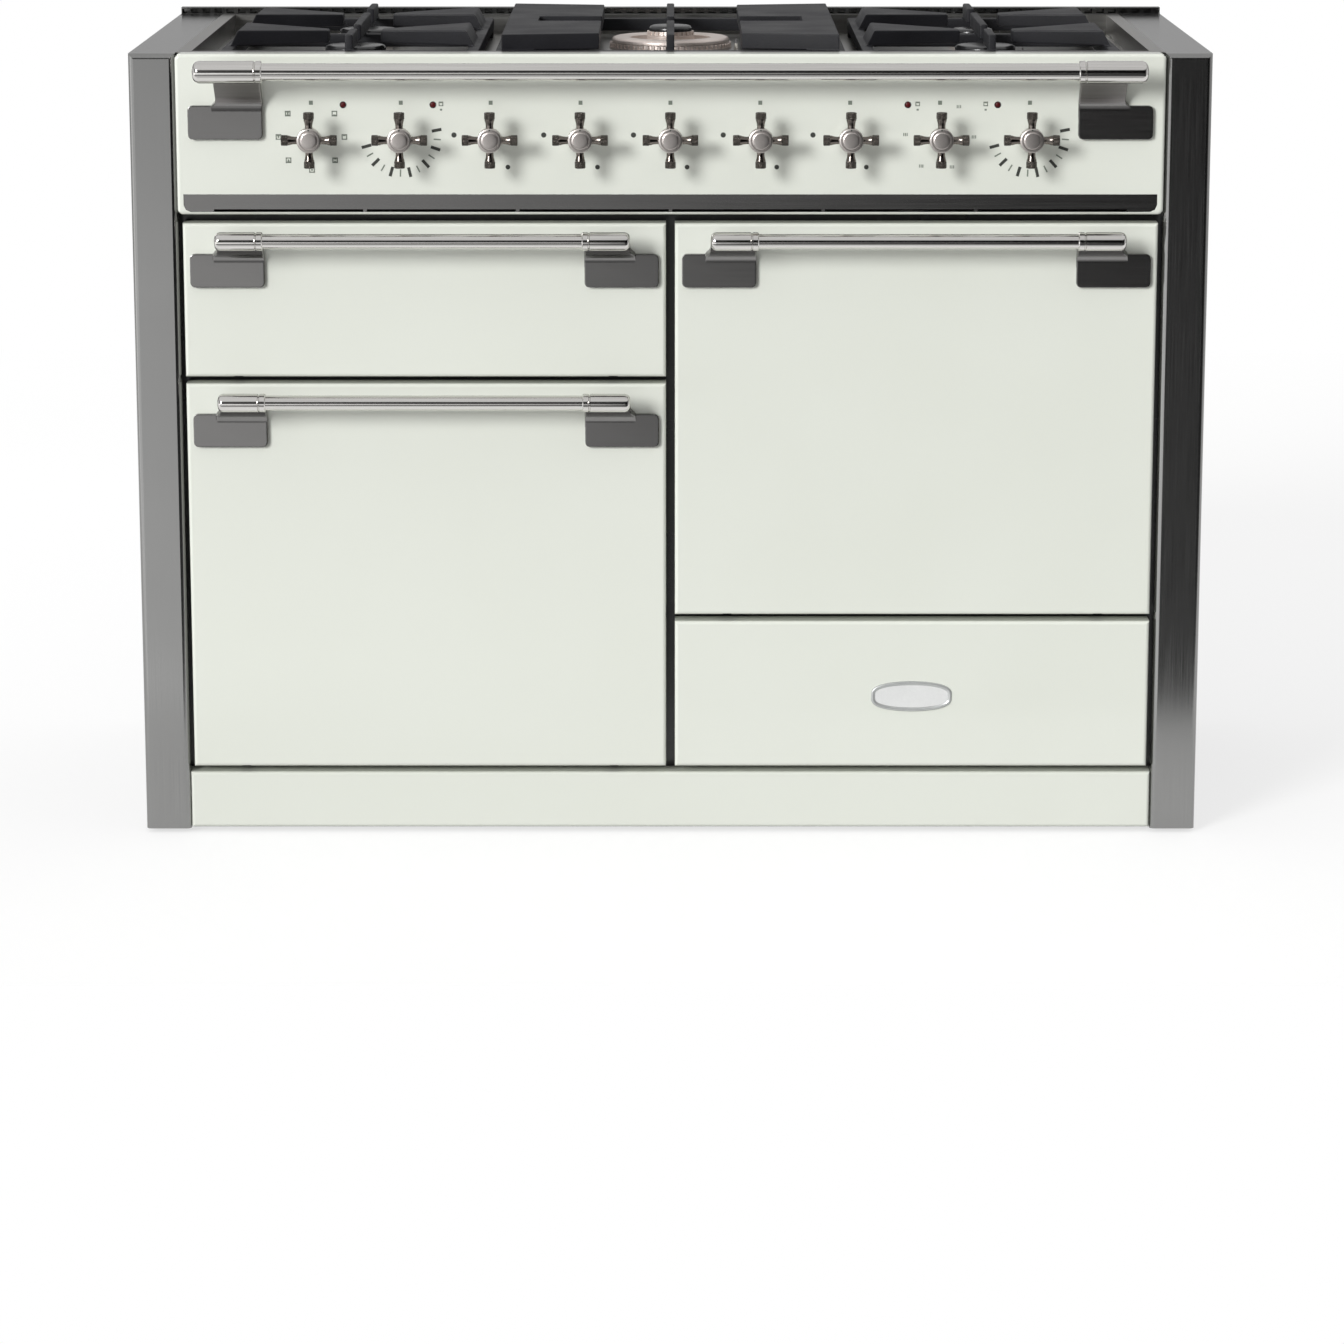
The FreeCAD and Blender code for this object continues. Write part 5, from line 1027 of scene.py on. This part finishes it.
# %% Heating elements
SNAKE_PITCH, SNAKE_FRONT, SNAKE_TURN, SNAKE_REAR, SNAKE_Z = 56, -169.75, 110.25, 170.25, 657.0
WALL_Y, RING, RING_Y = 190.25, 96.0, 174.35
snake = []
for step in range(6):
    x = -COLUMN + SNAKE_PITCH * (step - 2.5)
    rear = SNAKE_REAR if step in (0, 5) else SNAKE_TURN
    ends = (SNAKE_FRONT, rear) if step % 2 else (rear, SNAKE_FRONT)
    snake += [(x, y, SNAKE_Z) for y in ends]
tubes = [snake]
for middle, floor_z, roof_z in OVENS.values():
    axis = (floor_z + roof_z) / 2
    spots = [tau * step / 48 for step in range(48)] + [0.0]
    tubes.append([(middle + RING * cos(a), RING_Y, axis + RING * sin(a)) for a in spots])
    tubes += [[(middle + side, RING_Y, axis), (middle + side, WALL_Y, axis)] for side in (-RING, RING)]
wires("element_tubes", tubes, "element_steel", 3.5, bend=26.0, sides=12, stands_for=["heating_elements"])

# %% [markdown]
# ## Fans and oven lamps
# A convection fan is a pressed plate with curved blades, riveted to a hub. It turns behind its cover,
# so each fan rides on its own body. A lamp under a glass sits beside the cover.

# %% Fans
FAN_Y, BLADES, BLADE_ROOT, BLADE_LONG, BLADE_HALF = 182.25, 8, 17, 52, 0.6
FAN_DISC = ((0, 0), (0, 64), (0.5, 71), (1.2, 72), (1.6, 70.5), (1.5, 64), (1.5, 13), (3, 12), (9, 10),
            (10, 7), (10, 0))


def draw_fan(x, z, tail):
    bm = bmesh.new()
    lathe(bm, (x, FAN_Y, z), FRONT, FAN_DISC, 48)
    lathe(bm, (x, FAN_Y, z), BACK, ((0, 0), (0, 4), (tail - FAN_Y, 4), (tail - FAN_Y, 0)), 20)
    for blade in range(BLADES):
        rings = []
        for step in range(7):
            share = step / 6
            turn = tau * blade / BLADES + 0.5 * share ** 2
            spoke, swing = Vector((cos(turn), 0, sin(turn))), Vector((-sin(turn), 0, cos(turn)))
            root = Vector((x, 0, z)) + spoke * (BLADE_ROOT + BLADE_LONG * share)
            tip = 162 + 6 * share
            section = ((-BLADE_HALF, 180.8), (BLADE_HALF, 180.8), (BLADE_HALF, tip), (-BLADE_HALF, tip))
            rings.append([bm.verts.new(root + swing * side + Vector((0, y, 0))) for side, y in section])
        skin(bm, rings, capped=True)
    return bm


for name, (middle, floor_z, roof_z) in OVENS.items():
    node = name + "_fan"
    fan = draw_fan(middle, (floor_z + roof_z) / 2, tail=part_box(node)[1][1] / MM)
    piece(node + "_pressed", fan, "galvanised", "aluminium", body=node, stands_for=[node])

# %% Oven lamps and the covers' screws
LAMP = ((0, 0), (0, 20), (6, 20), (11, 17), (14, 11), (15.5, 5), (15.5, 0))
LAMP_RING = ((0, 20.2), (0, 26), (3, 26), (5, 24), (5, 20.2))
LAMP_ASIDE, LAMP_BELOW, COVER_HALF, COVER_Y = 188, 60, 138, 148.3
bm = bmesh.new()
cover_screws = []
for middle, floor_z, roof_z in OVENS.values():
    axis = (floor_z + roof_z) / 2
    spot = (middle + LAMP_ASIDE, WALL_Y, roof_z - LAMP_BELOW)
    lathe(bm, spot, FRONT, LAMP, 32)
    lathe(bm, spot, FRONT, LAMP_RING, 32, paint=1)
    cover_screws += four(middle, axis, COVER_HALF, COVER_HALF, COVER_Y)
piece("oven_lamps", bm, "aluminium", "lamp_glass", "chrome_wire")
screw_row("fan_cover_screws", cover_screws, 3.6)

# %% [markdown]
# ## Door backs
# The inner skin of each door carries a raised field that stiffens it, and screws that hold it. They
# ride on the door, so they swing down with it.

# %% Raised fields and screws
DOOR_BACKS = {"broiler": (-COLUMN, 572.5, 681.0), **OVENS}
FIELD_LAYERS = [(-0.3, 0), (0.3, 0.3), (1.2, 3.0), (1.6, 5.0)]
PLUG_Y, FIELD_HALF, FIELD_IN, SCREW_HALF, SCREW_IN = -228.75, 170, 34, 203, 20
for name, (middle, low, high) in DOOR_BACKS.items():
    bm = bmesh.new()
    x, z = (middle - FIELD_HALF, middle + FIELD_HALF), (low + FIELD_IN, high - FIELD_IN)
    plate(bm, x, z, 14, upright(PLUG_Y, 1), FIELD_LAYERS)
    piece(name + "_door_field", bm, "black_enamel", body=name + "_door")
    rows = (low + SCREW_IN, high - SCREW_IN)
    spots = [(middle + SCREW_HALF * i, PLUG_Y, z) for i in (-1, 0, 1) for z in rows]
    screw_row(name + "_door_screws", spots, 3.6, name + "_door")

# %% [markdown]
# ## Gas fittings, feet and the back
# Under the tray a square manifold feeds five bent pipes, each ending in a burner cup. Beside every
# burner a ceramic stem holds the spark electrode. The rear sheet is held by a row of screws and
# stiffened by pressed ribs, and the feet stand on the floor under the base tray.

# %% Gas pipes, cups and electrodes
TAP_Y, TAP_TOP, PIPE_Z, CUP_EDGE, CUP_Z = -236.25, 824.5, 857.0, 22, 840
INLET_X, INLET_REAR, INLET_END, MANIFOLD_Y = 300.0, 303.0, 332.2, -198.25
CUP = ((0, 0), (0, 17), (4, 22), (9, 24), (34, 24), (34, 0))
STEM = ((0, 0), (0, 2.4), (7, 2.4), (8, 2.0), (11, 1.8), (11.5, 0))
SPARK = ((10, 0), (10, 0.8), (16, 0.8), (16.4, 0))
UNION = ((-30, 0), (-30, 9), (-21, 9), (-20.5, 7.5), (-19, 7.5), (-18, 9.6), (-16.5, 8.8), (-15, 9.6),
         (-13.5, 8.8), (-12, 9.6), (-10.5, 8.8), (-9, 9.6), (-7.5, 8.8), (-6, 9.6), (-4.5, 8.8), (-3, 9.6),
         (-1, 9.2), (0, 8.4), (0, 0))
NUT = ((-29.5, 0), (-29.5, 9.6), (-29, 10.4), (-21.5, 10.4), (-21, 9.6), (-21, 0))
FEEDS = (("front", 0), ("rear", 1), ("middle", 2), ("rear", 4), ("front", 3))
lines = []
for step, (row, number) in enumerate(FEEDS):
    x, y, radius = BURNERS[number]
    tap_x = PITCH * (step - 2)
    line = [(tap_x, TAP_Y, TAP_TOP), (tap_x, TAP_Y, PIPE_Z)]
    if row == "front":
        line += [(x, TAP_Y, PIPE_Z), (x, y - CUP_EDGE, PIPE_Z)]
    elif row == "rear":
        line += [(tap_x, y, PIPE_Z), (x + copysign(CUP_EDGE, -x), y, PIPE_Z)]
    else:
        line += [(x, y - CUP_EDGE, PIPE_Z)]
    lines.append(line)
wires("gas_pipes_bent", lines, "aluminium", 4.0, bend=14.0, sides=12, stands_for=["gas_fittings"])
inlet = [(INLET_X, MANIFOLD_Y, KNOB_Z), (INLET_X, INLET_REAR, KNOB_Z)]
wires("gas_inlet_bent", [inlet], "aluminium", 8.0, sides=16)
bm = bmesh.new()
block(bm, (-231.4, -216.25, 797.5), (318.0, MANIFOLD_Y, 815.5), 2.0)
for x, y, radius in BURNERS:
    lathe(bm, (x, y, CUP_Z), UP, CUP, 32)
    stem = (x + radius + 5.5, y, TRAY_Z)
    lathe(bm, stem, UP, STEM, 16, paint=1)
    lathe(bm, stem, UP, SPARK, 10, paint=2)
for profile, sides in ((UNION, 32), (NUT, 6)):
    lathe(bm, (INLET_X, INLET_END, KNOB_Z), BACK, profile, sides)
piece("gas_fittings_turned", bm, "aluminium", "brass", "ceramic", "chrome_wire")

# %% Feet
FOOT_TURNED = ((0, 0), (0, 20.6), (0.9, 22), (5.0, 22), (6.4, 21), (7.2, 17), (7.6, 9), (9.5, 8), (18, 8),
               (18.5, 5.8), (70.8, 5.8), (70.8, 0))
bm = bmesh.new()
for x in (-485.5, 485.5):
    for y in (-165.75, 248.25):
        lathe(bm, (x, y, 0), UP, FOOT_TURNED, 36)
piece("feet_turned", bm, "foot_plastic", stands_for=["levelling_feet"])

# %% Rear sheet: ribs, louvre hoods, terminal cover and screws
BACK_Y, COVER_X, COVER_Z = 318.25, -405, 780
RIB = [(-0.3, 0), (0.4, 0.4), (2.2, 3.0), (3.0, 6.0)]
HOOD = [(-0.3, 0), (0.5, 0.3), (3.5, 1.4), (4.5, 4.0)]
COVER = [(-0.3, 0), (9.0, 0.6), (11.0, 2.0), (11.6, 5.0)]
GLAND = ((0, 0), (0, 5.5), (9, 5.5), (10, 4.6), (10, 3.2), (6, 3.0), (6, 0))
COLLAR = ((0, 15), (0, 27), (1.6, 27), (2.6, 25.6), (2.6, 16), (1.8, 15), (0, 15))
on_back = upright(BACK_Y, 1)
bm = bmesh.new()
for z in (180.0, 330.0, 560.0, 690.0):
    plate(bm, (-500, 500), (z - 11, z + 11), 10.5, on_back, RIB)
for middle in (-240, -120, 0, 120, 240):
    plate(bm, (middle - 50, middle + 50), (437.0, 450.0), 6.0, on_back, HOOD)
piece("back_pressings", bm, "galvanised")
bm = bmesh.new()
plate(bm, (COVER_X - 65, COVER_X + 65), (COVER_Z - 50, COVER_Z + 50), 9.0, on_back, COVER)
lathe(bm, (COVER_X, BACK_Y + 6, 731), (0, 0, -1), GLAND, 24)
lathe(bm, (INLET_X, BACK_Y - 0.3, KNOB_Z), BACK, COLLAR, 40)
piece("terminal_cover", bm, "foot_plastic")
edge_screws = [(sign * 541.0, BACK_Y, 70.0 + 130 * step) for sign in (-1, 1) for step in range(7)]
edge_screws += [(-440.0 + 176 * step, BACK_Y, z) for step in range(6) for z in (56.0, 862.0)]
screw_row("back_screws", edge_screws, 4.0)
screw_row("terminal_screws", four(COVER_X, COVER_Z, 55, 40, BACK_Y + 11.4), 3.0)

# %% [markdown]
# ## Studio
# A pale floor under a broad, soft light from the upper left. Steel shows what stands around it, so
# the room matters as much as the lamp: bright overhead, dimmer at the sides, and in front light low
# down at the left and dark at the right. The camera itself sees plain white where the floor ends.

# %% Floor
bm = bmesh.new()
bmesh.ops.create_grid(bm, x_segments=8, y_segments=8, size=1.0)
for vert in bm.verts:
    vert.co = Vector((vert.co.x * 4.0, vert.co.y * 2.2 + 1.3, 0.0))
floor_mesh = bpy.data.meshes.new("floor")
bm.to_mesh(floor_mesh)
bm.free()
floor = bpy.data.objects.new("floor", floor_mesh)
scene.collection.objects.link(floor)


def shown(wire):
    """One for the rays that show a surface to the eye, directly or in metal and glass."""
    kinds = ("Camera", "Glossy", "Transmission")
    rays = [wire.node("ShaderNodeLightPath", out=f"Is {kind} Ray") for kind in kinds]
    return rays[0].math("MAXIMUM", rays[1]).math("MAXIMUM", rays[2])


def floor_paint(place):
    cloud = place.noise(0.6, 2.0)
    return {
        "Base_Color": cloud.mix(shade(160, 160, 160), shade(166, 166, 166)),
        "Emission_Color": shown(place).mix((0.0, 0.0, 0.0, 1.0), (0.66, 0.66, 0.66, 1.0)),
    }


finish("floor_paint", floor_paint, Roughness=0.9, Specular_IOR_Level=0.1, Emission_Strength=1.0)
floor_mesh.materials.append(FINISHES["floor_paint"])

# %% Key light
sun = bpy.data.lights.new("key", "SUN")
sun.energy = 2.54
sun.angle = radians(20)
key = bpy.data.objects.new("key", sun)
key.rotation_euler = Vector((0.51, 0.74, -0.29)).to_track_quat("-Z", "Y").to_euler()
scene.collection.objects.link(key)

# %% Room
world = bpy.data.worlds.new("studio")
scene.world = world
world.use_nodes = True
room = world.node_tree
start = Wire(room)
across, ahead, rise = start.node("ShaderNodeTexCoord", out="Generated").split()
ceiling = rise.ramp(0.40, 0.52, 0.0, 0.75)
backdrop = ahead.ramp(0.10, 0.40, 0.0, 0.45) * rise.ramp(0.36, 0.48, 1.0, 0.0)
low_left = rise.ramp(-0.25, -0.08, 1.50, 1.15)
low_right = rise.ramp(-0.25, -0.08, 0.10, 0.0)
leftness = across.ramp(-0.13, 0.06, 1.0, 0.0)
wall = (leftness * (low_left - low_right) + low_right) * rise.ramp(-0.31, -0.27, 0.18, 1.0)
ground = rise.ramp(-0.62, -0.50, 0.45, 0.0)
front = (wall + ground) * rise.ramp(-0.07, -0.02, 1.0, 0.05) * ahead.ramp(-0.1, 0.1, 1.0, 0.0)
flanks = (across * across).ramp(0.66, 0.92, 0.0, 0.60) * rise.ramp(0.36, 0.48, 1.0, 0.0)
level = ceiling + backdrop + front + flanks
tone = start.node("ShaderNodeCombineColor", {0: level, 1: level, 2: level})
seen = start.node("ShaderNodeLightPath", out="Is Camera Ray")
room.links.new(seen.mix(tone, (1.0, 1.0, 1.0, 1.0)).socket, room.nodes["Background"].inputs["Color"])

# %% Camera
lens = bpy.data.cameras.new("camera")
lens.sensor_width = 36.0
lens.lens = 124.39
camera = bpy.data.objects.new("camera", lens)
camera.location = (0.0018, -5.49, 1.34)
camera.rotation_euler = (radians(90.0 - 12.41), 0.0, 0.0)
scene.collection.objects.link(camera)
scene.camera = camera
